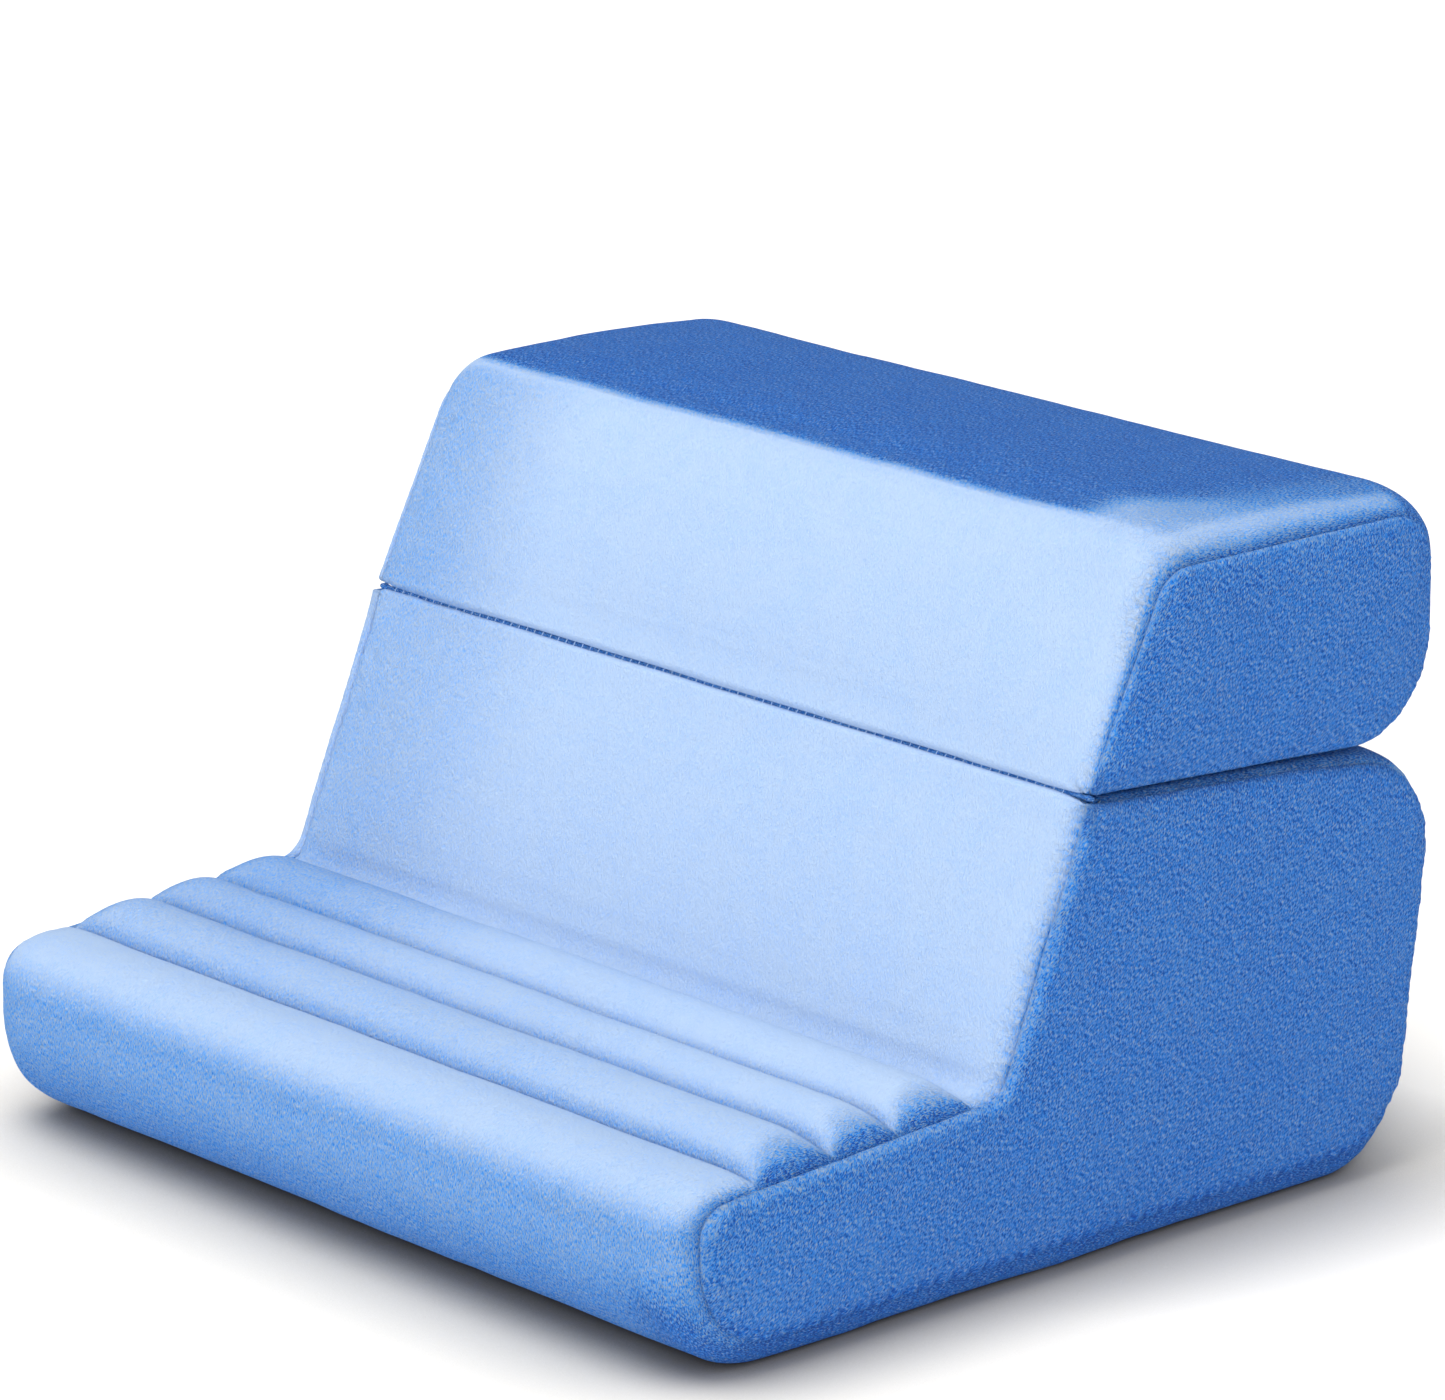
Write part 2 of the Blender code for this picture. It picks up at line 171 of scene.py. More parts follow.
# The lowest that the cloth lies, and how far it may swell between its seams
LOWEST = 0.15 * MM
SWELL_CAP = 2.2 * MM
# The even form that is blown up as cloth: its grain, the pressure and the steps it gets
FORM_GRAIN = 5.0 * MM
CLOTH_PRESSURE = 4.0
CLOTH_FRAMES = 20
# A triangle of a panel's fill that is smaller than this is a sliver between border points in one line
SLIVER_AREA = 0.01 * MM ** 2

# The tape in the crease: its half length, how far forward it lies, and its half sizes in mm
TAPE_REACH = 0.1405
CREASE_SEAT = -0.40 * MM
TAPE_HALF_WIDTH = 0.62
TAPE_HALF_DEPTH = 0.70
TAPE_END_GROWTH = 0.40
TAPE_SIDES = 20
# The stitches over the tape
SEWN_REACH = 0.1335
SEWN_PITCH = 3.3 * MM
SEWN_RADIUS = 0.13 * MM
SEWN_ARCH = 0.85 * MM
SEWN_HALF_LENGTH = 1.2 * MM
SEWN_SIDES = 6
SEWN_RINGS = 7

# Pile colours from deep to pale; the tones laid on them carry painted light and painted shade as well as the
# cloth's own colour
NAP_AND_LIGHT_STOPS = (
    (0.00, (0.003, 0.077, 0.530)),
    (0.20, (0.006, 0.163, 0.800)),
    (0.36, (0.010, 0.270, 0.990)),
    (0.52, (0.050, 0.375, 0.995)),
    (0.75, (0.270, 0.475, 0.905)),
    (1.00, (0.460, 0.578, 0.748)),
)
# The pile's strokes, and how strongly they show
STROKE_WIDTH = 0.27 * MM
STROKE_LENGTH = 1.05 * MM
STROKE_CONTRAST = 3.5
# Tones of the pile on the scale of its colours; the rest follows from them. The faces, the ribs and the pale
# rims hold painted light, the top surface a painted cast shadow, and the rear, the underside and the tape's
# front painted shade; the panels' tone is the cloth's own
BAND_TONE = 0.68
TOP_FACE_TONE = 0.97
TOP_SURFACE_TONE = 0.21
TOP_REAR_TONE = 0.34
BASE_FACE_TONE = 0.96
RIB_TONE = 0.89
UNDERSIDE_TONE = 0.24
REAR_TONE = 0.42
CLEFT_TONE = 0.36
PANEL_TONE = 0.365
RIM_INSIDE_TONE = 0.80
LEFT_RIM_TONE = 0.88
TAPE_TONE = 0.74
TAPE_FRONT_TONE = 0.38
PANEL_STROKE_TURN = math.radians(38.0)

# The lamps: direction towards the light, strength and angle in degrees; then the even light
KEY_SUN = ((-0.13, -0.25, 0.96), 1.88, 44.0)
FILL_SUN = ((0.66, -0.66, 0.34), 1.50, 24.0)
WORLD_STRENGTH = 0.57

# The floor: half its size, its own colour, and what the camera sees: a painted shadow beside the stand, the
# colour away from it, and how far the painted shadow reaches
FLOOR_REACH = 9.0
FLOOR_COLOUR = (0.92, 0.92, 0.92, 1.0)
FLOOR_PAINTED_SHADOW = (0.09, 0.078, 0.060, 1.0)
FLOOR_AWAY = (1.0, 0.970, 0.910, 1.0)
FLOOR_SHADOW_REACH = 0.052

# The camera, fitted to the photograph: focal length and width in pixels, place, heading and view
FOCAL_PIXELS = 7210.46674
FRAME_PIXELS = 1445.0
SENSOR_WIDTH = 36.0
CAMERA_PLACE = (1.36636, -1.22006, 0.64072)
CAMERA_AZIMUTH = 0.8388
CAMERA_AHEAD = (-0.715696, 0.643066, -0.272480)


def value_noise(points, size, seed):
    """Smooth noise from -1 to 1 at points, with cells of this size."""
    places = np.asarray(points, float) / size
    cells = np.floor(places).astype(np.int64)
    parts = places - cells
    parts = parts * parts * (3.0 - 2.0 * parts)
    total = np.zeros(len(places))
    for corner in range(8):
        step = np.array([corner & 1, (corner >> 1) & 1, (corner >> 2) & 1])
        at = (cells + step).astype(np.uint64)
        code = at * np.array([73856093, 19349663, 83492791], np.uint64)
        code = code[:, 0] ^ code[:, 1] ^ code[:, 2]
        code = (code ^ np.uint64(seed * 2654435761)) & np.uint64(0xFFFFFFFF)
        for shift, factor in ((16, 0x45D9F3B), (15, 0x2C1B3C6D), (16, 0x297A2D39)):
            code = ((code >> np.uint64(shift)) ^ code) * np.uint64(factor) & np.uint64(0xFFFFFFFF)
        value = code.astype(float) / 0xFFFFFFFF * 2.0 - 1.0
        weight = np.prod(np.where(step, parts, 1.0 - parts), axis=1)
        total += weight * value
    return total


def along_noise(distance, size, seed):
    """Smooth noise from -1 to 1 along a line."""
    distance = np.asarray(distance, float)
    flat = np.zeros((distance.size, 3))
    flat[:, 0] = distance.ravel()
    return value_noise(flat, size, seed).reshape(distance.shape)


def swell(distance, run):
    share = np.clip(distance / run, 0.0, 1.0)
    return np.sqrt(1.0 - (1.0 - share) ** 2)


def crossed(a, b):
    return a[0] * b[1] - a[1] * b[0]


def outward(direction):
    return np.array([direction[1], -direction[0]])


class Outline:
    """A rounded seam outline, anticlockwise seen from +X: place, outward normal, crown and rib rise."""

    def __init__(self, corners, ribbed, seed, roll):
        self.corners = corners
        self.seed = seed
        self.roll = roll
        self.points = [np.array(corner[:2]) for corner in corners]
        self.ribbed = ribbed
        self.rows = []
        for index in range(len(corners)):
            self.add_arc(index)
            if ribbed and index == TRAY_EDGE:
                self.add_tray(index)
            else:
                self.add_edge(index)
        table = np.array(self.rows)
        # The rows start in the middle of the underside, where nothing is seen of the wrap
        under = np.flatnonzero(table[:, 3] < -0.9)
        table = np.roll(table, -int(under[len(under) // 2]), axis=0)
        self.place, self.normal = table[:, 0:2], table[:, 2:4]
        self.crown, self.rib = table[:, 4], table[:, 5]
        crest = self.place + self.normal * (self.crown + self.rib)[:, None]
        steps = np.linalg.norm(np.diff(crest, axis=0), axis=1)
        self.along = np.concatenate([[0.0], np.cumsum(steps)])
        # The seam is tucked in less at the crease, where the edge is tight
        from_crease = np.linalg.norm(self.place - np.array([CREASE_Y, CLEFT_HEIGHT]), axis=1)
        self.tuck = np.clip(0.08 + from_crease / (12.0 * MM), 0.0, 1.0)
        self.length = self.along[-1] + np.linalg.norm(crest[0] - crest[-1])

    def arc(self, index):
        """The arc at a corner: the direction before it, its turn, radius, start, end and centre."""
        arriving = self.points[index] - self.points[index - 1]
        arriving = arriving / np.linalg.norm(arriving)
        leaving = self.points[(index + 1) % len(self.points)] - self.points[index]
        leaving = leaving / np.linalg.norm(leaving)
        turn = math.atan2(crossed(arriving, leaving), float(arriving @ leaving))
        radius = self.corners[index][2]
        reach = radius * math.tan(abs(turn) / 2.0)
        start = self.points[index] - arriving * reach
        end = self.points[index] + leaving * reach
        centre = start - outward(arriving) * math.copysign(radius, turn)
        return arriving, turn, radius, start, end, centre

    def edge_crown(self, index, point):
        """The band's crown at a point on the edge that follows a corner."""
        index = index % len(self.points)
        following = (index + 1) % len(self.points)
        if self.ribbed and index == TRAY_EDGE:
            return self.roll_crown(point[0])
        share = np.linalg.norm(point - self.points[index]) / np.linalg.norm(
            self.points[following] - self.points[index])
        plain = self.corners[index][4] * (1.0 - share) + self.corners[following][3] * share
        return plain + self.corners[index][5] * math.sin(math.pi * share)

    def roll_crown(self, y):
        end = self.arc(TRAY_EDGE + 1)[3][0]
        edge = GROOVES[0]
        if y >= edge:
            return 0.0
        return ROLL_CROWN * math.sqrt(max(0.0, 1.0 - ((y - end) / (edge - end)) ** 2))

    def add_arc(self, index):
        arriving, turn, radius, start, end, centre = self.arc(index)
        before = self.edge_crown(index - 1, start)
        after = self.edge_crown(index, end)
        first = outward(arriving)
        steps = max(math.ceil(radius * abs(turn) / ARC_LENGTH), math.ceil(abs(turn) / ARC_ANGLE))
        for step in range(steps + 1):
            share = step / steps
            cosine, sine = math.cos(turn * share), math.sin(turn * share)
            normal = np.array([first[0] * cosine - first[1] * sine, first[0] * sine + first[1] * cosine])
            eased = share * share * (3.0 - 2.0 * share)
            point = centre + normal * math.copysign(radius, turn)
            self.rows.append((*point, *normal, before * (1.0 - eased) + after * eased, 0.0))

    def add_edge(self, index):
        start = self.arc(index)[4]
        end = self.arc((index + 1) % len(self.points))[3]
        normal = outward((end - start) / np.linalg.norm(end - start))
        count = max(2, math.ceil(np.linalg.norm(end - start) / EDGE_STEP))
        for step in range(1, count):
            point = start + (end - start) * step / count
            self.rows.append((*point, *normal, self.edge_crown(index, point), 0.0))

    def add_tray(self, index):
        start = self.arc(index)[4]
        end = self.arc(index + 1)[3]
        normal = outward((end - start) / np.linalg.norm(end - start))
        places = list(np.linspace(start[0], GROOVES[-1], 5)[1:-1]) + [GROOVES[-1]]
        for rib in reversed(range(len(RIB_PITCHES))):
            middle = (GROOVES[rib] + GROOVES[rib + 1]) / 2.0
            angles = np.pi * np.arange(1, RIB_POINTS + 1) / RIB_POINTS
            places += list(middle + RIB_PITCHES[rib] / 2.0 * np.cos(angles))
        angles = np.pi / 2.0 * np.arange(1, ROLL_POINTS) / ROLL_POINTS
        places += list(end[0] + (GROOVES[0] - end[0]) * np.cos(angles))
        for y in places:
            point = start + (end - start) * (y - start[0]) / (end[0] - start[0])
            self.rows.append((*point, *normal, self.roll_crown(y), rib_rise(y)))


def rib_rise(y):
    for rib, pitch in enumerate(RIB_PITCHES):
        if GROOVES[rib] < y < GROOVES[rib + 1]:
            offset = (y - (GROOVES[rib] + GROOVES[rib + 1]) / 2.0) / (pitch / 2.0)
            return RIB_RISE * max(0.0, 1.0 - offset * offset) ** 0.56
    return 0.0


def add_mesh(name, points, faces, uv, material):
    """A smooth mesh object; uv holds one pair for each vertex."""
    mesh = bpy.data.meshes.new(name)
    mesh.from_pydata([tuple(p) for p in points], [], faces)
    mesh.shade_smooth()
    layer = mesh.uv_layers.new(name="UVMap")
    corners = np.zeros(len(mesh.loops), np.int32)
    mesh.loops.foreach_get("vertex_index", corners)
    layer.data.foreach_set("uv", np.asarray(uv, np.float32)[corners].ravel())
    mesh.materials.append(material)
    result = bpy.data.objects.new(name, mesh)
    bpy.context.scene.collection.objects.link(result)
    return result


def set_pile(obj, nap_and_painted_light, coarse):
    """The pile's tone, its own colour with painted light and painted shade in it, and how coarse it lies,
    both from 0 to 1, at each vertex.
    """
    for name, values in (("nap_and_painted_light", nap_and_painted_light), ("coarse", coarse)):
        attribute = obj.data.attributes.new(name, "FLOAT", "POINT")
        attribute.data.foreach_set("value", np.clip(values, 0.0, 1.0).astype(np.float32))


def eased(value, low, high):
    share = np.clip((value - low) / (high - low), 0.0, 1.0)
    return share * share * (3.0 - 2.0 * share)


def fade(distance, reach):
    """1 at no distance, fading to 0 over about twice the reach."""
    return np.exp(-(distance / reach) ** 2)


def mixed(first, second, share):
    return first * (1.0 - share) + second * share


def top_band_pile(tone, coarse, points, normals, far):
    """Painted light on the face; a painted cast shadow on the top surface, with painted light on a rim
    beside the right seam; painted shade on the rear.
    """
    x, y, z = points.T
    front, up = -normals[:, 1], normals[:, 2]
    # Painted light on the faces that turn to the front, less towards the left end
    tone = mixed(tone, TOP_FACE_TONE - 0.18 * eased(-x, 0.070, 0.135), eased(front, 0.45, 0.80))
    # A painted cast shadow on the top surface, which leaves painted light on a rim beside the right seam
    inwards = 0.016 * eased(TOP_HEAD_Y + 0.040 - y, 0.0, 0.030)
    rearwards = eased(y, 0.015, 0.110)
    rim = eased(x + inwards, 0.114, 0.131) * (1.0 - 0.62 * rearwards)
    tone = tone - 0.16 * eased(x, 0.100, 0.120) * rearwards
    tone = mixed(tone, TOP_SURFACE_TONE + 0.66 * rim, eased(up, 0.86, 0.975))
    coarse = coarse * (1.0 - 0.6 * eased(up, 0.1, 0.5))
    from_head = np.hypot(y - TOP_HEAD_Y, z - TOP_HEAD_Z)
    coarse = np.maximum(coarse, np.exp(-(from_head / (26.0 * MM)) ** 4 - (far / (6.0 * MM)) ** 2))
    # Painted shade where the band faces up and to the rear
    return mixed(tone, TOP_REAR_TONE, eased(-front, 0.02, 0.30) * eased(up, 0.0, 0.3)), coarse


def base_band_pile(tone, coarse, points, normals, far, along):
    """Painted light on the face and the ribs; painted shade in the grooves, at the ribs' ends, underneath
    and by the floor.
    """
    x, y, z = points.T
    front, up, across = -normals[:, 1], normals[:, 2], np.abs(normals[:, 0])
    # Painted light on the face, less towards the left end
    face = eased(y, GROOVES[-1], FOOT_Y) * eased(front + 0.5 * up, 0.3, 0.6)
    tone = mixed(tone, BASE_FACE_TONE - 0.13 * eased(-x, 0.050, 0.130), face)
    # Painted light on the ribs
    on_ribs = eased(y, GROOVES[0] - 2.0 * MM, GROOVES[0])
    on_ribs *= eased(GROOVES[-1] + 2.0 * MM - y, 0.0, 2.0 * MM)
    on_ribs *= eased(up, -0.2, 0.2)
    rearwards = (y - GROOVES[0]) / (GROOVES[-1] - GROOVES[0])
    rib_tone = RIB_TONE + 0.08 * rearwards * (1.0 - 2.75 * eased(-x, 0.010, 0.110))
    tone = mixed(tone, rib_tone + 0.04 * eased(x, 0.0, 0.1), on_ribs)
    # Painted shade in the grooves
    from_groove = np.abs(y[:, None] - GROOVES[None, :]).min(axis=1)
    in_groove = fade(from_groove, 1.9 * MM) * eased(up, 0.0, 0.3) * eased(far, 0.0, 8.0 * MM)
    tone -= 0.12 * in_groove * (1.0 + 0.5 * eased(x, 0.030, 0.120))
    # Painted shade on the ribs' ends, where they turn to the side; the pile is coarser there too
    rib_end = on_ribs * eased(across, 0.12, 0.85)
    tone -= 0.44 * rib_end
    # Painted shade where the band turns under at the right end, and under the seam just over the floor,
    # deepest at the pleats' stitches
    tone = mixed(tone, UNDERSIDE_TONE, eased(-up, 0.0, 0.5) * eased(x, 0.110, 0.136))
    under_seam = eased(0.0095 - z, 0.0, 1.5 * MM) * fade(far, 5.0 * MM)
    tone = mixed(tone, 0.10 + 0.14 * (1.0 - pulls(along, PLEAT_PITCH)), under_seam)
    coarse = coarse * (1.0 - 0.9 * eased(-up, 0.0, 0.5))
    return tone, np.maximum(coarse, rib_end)


def band_pile(band, far, along, is_top):
    """The band's pile: painted light where it faces up, painted shade below, behind and in the seams'
    valleys, deeper in the cleft, coarse by the seams.
    """
    points, normals = shape_points(band), vertex_normals(band)
    x, y, z = points.T
    up = normals[:, 2]
    coarse = 0.42 * fade(far, 5.5 * MM)
    # Painted light where the band faces up and painted shade where it faces down
    tone = BAND_TONE + 0.27 * eased(up, 0.05, 0.90) - 0.16 * eased(-up, 0.0, 0.7)
    if is_top:
        tone, coarse = top_band_pile(tone, coarse, points, normals, far)
    else:
        tone, coarse = base_band_pile(tone, coarse, points, normals, far, along)
    # Painted shade in the seams' valleys and the stitches' dimples, deeper on the right side, where the pile
    # is also coarser
    right = eased(x, -0.05, 0.05)
    tone -= (0.03 + 0.08 * right) * fade(far, 3.0 * MM)
    coarse *= 0.25 + 0.75 * right
    tone -= 0.24 * right * stitch_dimple_shade(along) * fade(far, 1.6 * MM)
    # Painted shade where the band faces the rear
    tone = mixed(tone, REAR_TONE, eased(normals[:, 1], 0.3, 0.9))
    in_cleft = eased(9.0 * MM - np.abs(z - cleft_z(y, 0.0)), 0.0, 5.0 * MM)
    in_cleft *= eased(y, CREASE_Y + 0.5 * MM, CREASE_Y + 4.0 * MM)
    return mixed(tone, CLEFT_TONE, in_cleft * eased(np.abs(up), 0.3, 0.8)), coarse


def panel_pile(panel, gap, along):
    """The panels' pile lies the other way and looks deeper, with a coarser rim that carries painted light
    where it faces up and forward, and painted shade in the stitches' dimples and in the pleats by the floor.
    """
    points, normals = shape_points(panel), vertex_normals(panel)
    x, y, z = points.T
    forward = -normals[:, 1]
    # Painted light on the rim where it faces up and forward, away from the cleft
    lit = eased(normals[:, 2] + 0.6 * forward, 0.0, 0.9)
    lit *= eased(np.abs(z - cleft_z(y, 0.0)), 5.0 * MM, 10.0 * MM)
    front = eased(-y, 0.020, 0.110)
    near_floor = eased(0.020 - z, 0.0, 0.008)
    rim = fade(gap, 3.6 * MM)
    # Painted light on the side of the rim that faces the seam and the front, in the tone of the band beside
    # it
    inside = rim * eased(-normals[:, 0] * np.sign(x), -0.25, 0.35) * eased(forward, -0.1, 0.3)
    inside *= eased(z, ROLL_SEAM_HEIGHT, ROLL_SEAM_HEIGHT + 8.0 * MM)
    # Painted light on the rim seen along the left edge, as pale as the face beside it
    left = eased(-x, 0.0, 0.01) * eased(forward, 0.0, 0.4)
    left *= eased(8.0 * MM - gap, 0.0, 4.0 * MM) * eased(y, FOOT_Y - 8.0 * MM, FOOT_Y)
    coarse = fade(gap, 6.5 * MM) * (0.35 + 0.55 * front)
    coarse *= (1.0 - 0.9 * near_floor) * (1.0 - left)
    tone = mixed(PANEL_TONE + 0.27 * rim * lit + 0.05 * front, RIM_INSIDE_TONE, inside)
    # Painted shade in the stitches' dimples and in the pleats of the seam by the floor
    tone -= 0.20 * (1.0 - near_floor) * stitch_dimple_shade(along) * fade(gap, 1.2 * MM)
    pleats = 0.03 + 0.34 * pulls(along, PLEAT_PITCH)
    tone -= near_floor * pleats * fade(gap - 1.2 * MM, 1.9 * MM)
    return mixed(tone, LEFT_RIM_TONE, left), coarse


def vertex_vectors(obj, kind):
    vectors = np.zeros(len(obj.data.vertices) * 3, np.float32)
    obj.data.vertices.foreach_get(kind, vectors)
    return vectors.reshape(-1, 3)


def shape_points(obj):
    return vertex_vectors(obj, "co").astype(float)


def vertex_normals(obj):
    return vertex_vectors(obj, "normal")


def band_columns():
    """x and the distance from the nearer seam, from the left end to the right."""
    middle = SEAM_HALF_WIDTH - BAND_ROWS[-1]
    count = math.ceil(2.0 * middle / BAND_PITCH)
    inner = np.linspace(-middle, middle, count + 1)[1:-1]
    x = np.concatenate([-SEAM_HALF_WIDTH + BAND_ROWS, inner, (SEAM_HALF_WIDTH - BAND_ROWS)[::-1]])
    return x, SEAM_HALF_WIDTH - np.abs(x)


def pulls(along, pitch):
    """1 at each stitch and 0 between them."""
    return (0.5 + 0.5 * np.cos(2.0 * np.pi * along / pitch)) ** 2


def stitch_dimple_shade(along):
    """Painted shade in the stitches' dimples along a seam, as dark dashes, some of them half hidden in the
    pile.
    """
    return pulls(along, STITCH_PITCH) * (0.6 + 0.4 * along_noise(along, 9.0 * MM, 97))


def lowness(outline):
    """1 along the seams that lie just above the floor and 0 elsewhere."""
    return eased(-outline.normal[:, 1], 0.1, 0.7) * float(outline.ribbed)


def seam_pulls(along, distance, low):
    """How far the cloth beside a seam is pulled in by its stitches."""
    fine = STITCH_PULL * pulls(along, STITCH_PITCH) * fade(distance, 1.7 * MM)
    wide = PLEAT_PULL * pulls(along, PLEAT_PITCH) * fade(distance, 3.6 * MM)
    return fine * (1.0 - low) + wide * low


def seam_wander(outline, side, along, distance):
    """How far outwards the seam strays from its straight line, fading away from it."""
    stray = along_noise(along + (side + 2.0) * 0.9, 24.0 * MM, outline.seed) * 0.7
    stray = stray + along_noise(along + (side + 2.0) * 0.9, 9.0 * MM, outline.seed + 1) * 0.3
    return SEAM_WANDER * stray * fade(distance, 7.0 * MM)


def pucker(along, distance, seed, reach):
    """Small gathers beside a seam, from -1 to 1, that fade away from it."""
    fine = along_noise(along, 4.6 * MM, seed) * 0.65 + along_noise(along, 2.3 * MM, seed + 1) * 0.35
    return fine * fade(distance, reach)


def crease_gathers(x, y, z):
    """How far the cloth dips in the small folds that fan out from each end of the crease."""
    inwards, up = SEAM_HALF_WIDTH - np.abs(x), z - CREASE_Z
    reach = np.sqrt(inwards ** 2 + up ** 2 + (y - CREASE_Y) ** 2)
    angle = np.arctan2(up, np.maximum(inwards, 1e-6))
    fold = (0.5 + 0.5 * np.cos(9.0 * angle + 0.8)) ** 1.5
    depth = MM * np.where(x > 0.0, 0.80, 0.30)
    return depth * fold * fade(reach - 4.0 * MM, 4.5 * MM)


def band_form(outline, distance):
    """The band's height over its seams, and how far each point lies from one over the cloth's curve."""
    run = CROWN_RUN - (CROWN_RUN - FLOOR_CROWN_RUN) * lowness(outline)
    crown = outline.crown[:, None] * swell(distance[None, :], run[:, None])
    turned = SEAM_DEPTH * outline.roll * (1.0 - swell(distance, SEAM_ROLL))
    height = crown + outline.rib[:, None] * (swell(distance, RIB_RUN) ** 1.35)[None, :]
    height = height - turned[None, :] * outline.tuck[:, None]
    return height, np.hypot(distance[None, :], crown)


def band_points(outline, seed):
    """The band's vertices as a grid round the block, with their distances from and along the seam."""
    x, distance = band_columns()
    height, far = band_form(outline, distance)
    along = np.repeat(outline.along[:, None], len(x), axis=1)
    side = np.where(x > 0.0, 1.0, -1.0)[None, :]
    gathers = pucker(along + (side + 1.0) * 1.5, far, seed, 5.0 * MM)
    height = height + 0.60 * outline.roll * MM * gathers * swell(far, 1.2 * MM)
    pulled = seam_pulls(along, far, lowness(outline)[:, None]) * swell(far, 0.8 * MM)
    height = height - pulled * outline.tuck[:, None]
    normal = outline.normal[:, None, :]
    place = outline.place[:, None, :] + normal * height[:, :, None]
    place = place - normal * crease_gathers(x[None, :], place[:, :, 0], place[:, :, 1])[:, :, None]
    across = x[None, :] + side * seam_wander(outline, side, along, far)
    points = np.concatenate([across[:, :, None], place], axis=2).reshape(-1, 3)
    dents = 0.32 * MM * value_noise(points, 27.0 * MM, seed + 5)
    dents += 0.14 * MM * value_noise(points, 9.0 * MM, seed + 6)
    dents *= swell(far.ravel(), 8.0 * MM)
    points[:, 1:] += np.repeat(outline.normal, len(x), axis=0) * dents[:, None]
    points[:, 2] = np.maximum(points[:, 2], LOWEST)
    return points.reshape(*far.shape, 3), far, along


def make_band(name, outline, material, seed):
    points, far, along = band_points(outline, seed)
    rows, columns = far.shape
    index = np.arange(rows * columns).reshape(rows, columns)
    after = np.roll(index, -1, axis=0)
    faces = np.stack([index[:, :-1], after[:, :-1], after[:, 1:], index[:, 1:]], axis=2).reshape(-1, 4)
    # Across the cloth the uv follows its true length, so that the pile is nowhere stretched
    lengths = np.linalg.norm(np.diff(points, axis=1), axis=2)
    lengths = np.concatenate([np.zeros((rows, 1)), np.cumsum(lengths, axis=1)], axis=1)
    lengths -= lengths[:, [columns // 2]]
    uv = np.stack([lengths.ravel(), along.ravel()], axis=1)
    band = add_mesh(name, points.reshape(-1, 3), faces.tolist(), uv, material)
    # The last faces join the first row again, at the far end of the cloth
    corners = np.zeros(len(band.data.loops), np.int32)
    band.data.loops.foreach_get("vertex_index", corners)
    pairs = uv[corners]
    last = np.arange(len(corners)) >= 4 * (rows - 1) * (columns - 1)
    pairs[last & (corners < columns), 1] = outline.length
    band.data.uv_layers[0].data.foreach_set("uv", pairs.astype(np.float32).ravel())
    return band, far.ravel(), along.ravel()


def inside_polygon(points, polygon):
    """Which of the points lie inside a closed polygon."""
    result = np.zeros(len(points), bool)
    y, z = points[:, 0], points[:, 1]
    last = np.roll(polygon, 1, axis=0)
    for (y1, z1), (y0, z0) in zip(polygon, last):
        if z1 != z0:
            crosses = (z1 > z) != (z0 > z)
            result ^= crosses & (y < (y0 - y1) * (z - z1) / (z0 - z1) + y1)
    return result


def filled_tree(points):
    """A tree for finding the nearest of the points."""
    tree = KDTree(len(points))
    for number, point in enumerate(points):
        tree.insert(point, number)
    tree.balance()
    return tree


def nearest_on_seam(tree, points):
    """For each flat point, the outline's nearest row and how far away it is."""
    found = [tree.find((p[0], p[1], 0.0)) for p in points]
    return np.array([f[1] for f in found]), np.array([f[2] for f in found])


def grid_inside(outline, ring):
    """Places of a triangular grid inside a ring."""
    low, high = outline.place.min(axis=0), outline.place.max(axis=0)
    rows = []
    for number, z in enumerate(np.arange(low[1], high[1], PANEL_PITCH * math.sqrt(3.0) / 2.0)):
        start = low[0] + (PANEL_PITCH / 2.0 if number % 2 else 0.0)
        across = np.arange(start, high[0], PANEL_PITCH)
        rows.append(np.stack([across, np.full(len(across), z)], axis=1))
    grid = np.concatenate(rows)
    return grid[inside_polygon(grid, ring)]


def fill_ring(ring, inner):
    """The points and triangles that fill a ring, and which of the ring's points each point is."""
    count = len(ring)
    flat = [Vector(p) for p in np.concatenate([ring, inner])]
    border = [(number, (number + 1) % count) for number in range(count)]
    made = delaunay_2d_cdt(flat, border, [list(range(count))], 1, 1e-7, True)
    points = np.array([tuple(p) for p in made[0]])
    origin = [ids[0] if ids else -1 for ids in made[3]]
    triangles = [list(f) for f in made[2]]
    middles = np.array([points[f].mean(axis=0) for f in triangles])
    spans = np.array([points[f[1:]] - points[f[0]] for f in triangles])
    areas = np.abs(crossed(spans[:, 0].T, spans[:, 1].T)) / 2.0
    kept = inside_polygon(middles, ring) & (areas > SLIVER_AREA)
    return points, origin, [f for f, keeps in zip(triangles, kept) if keeps]


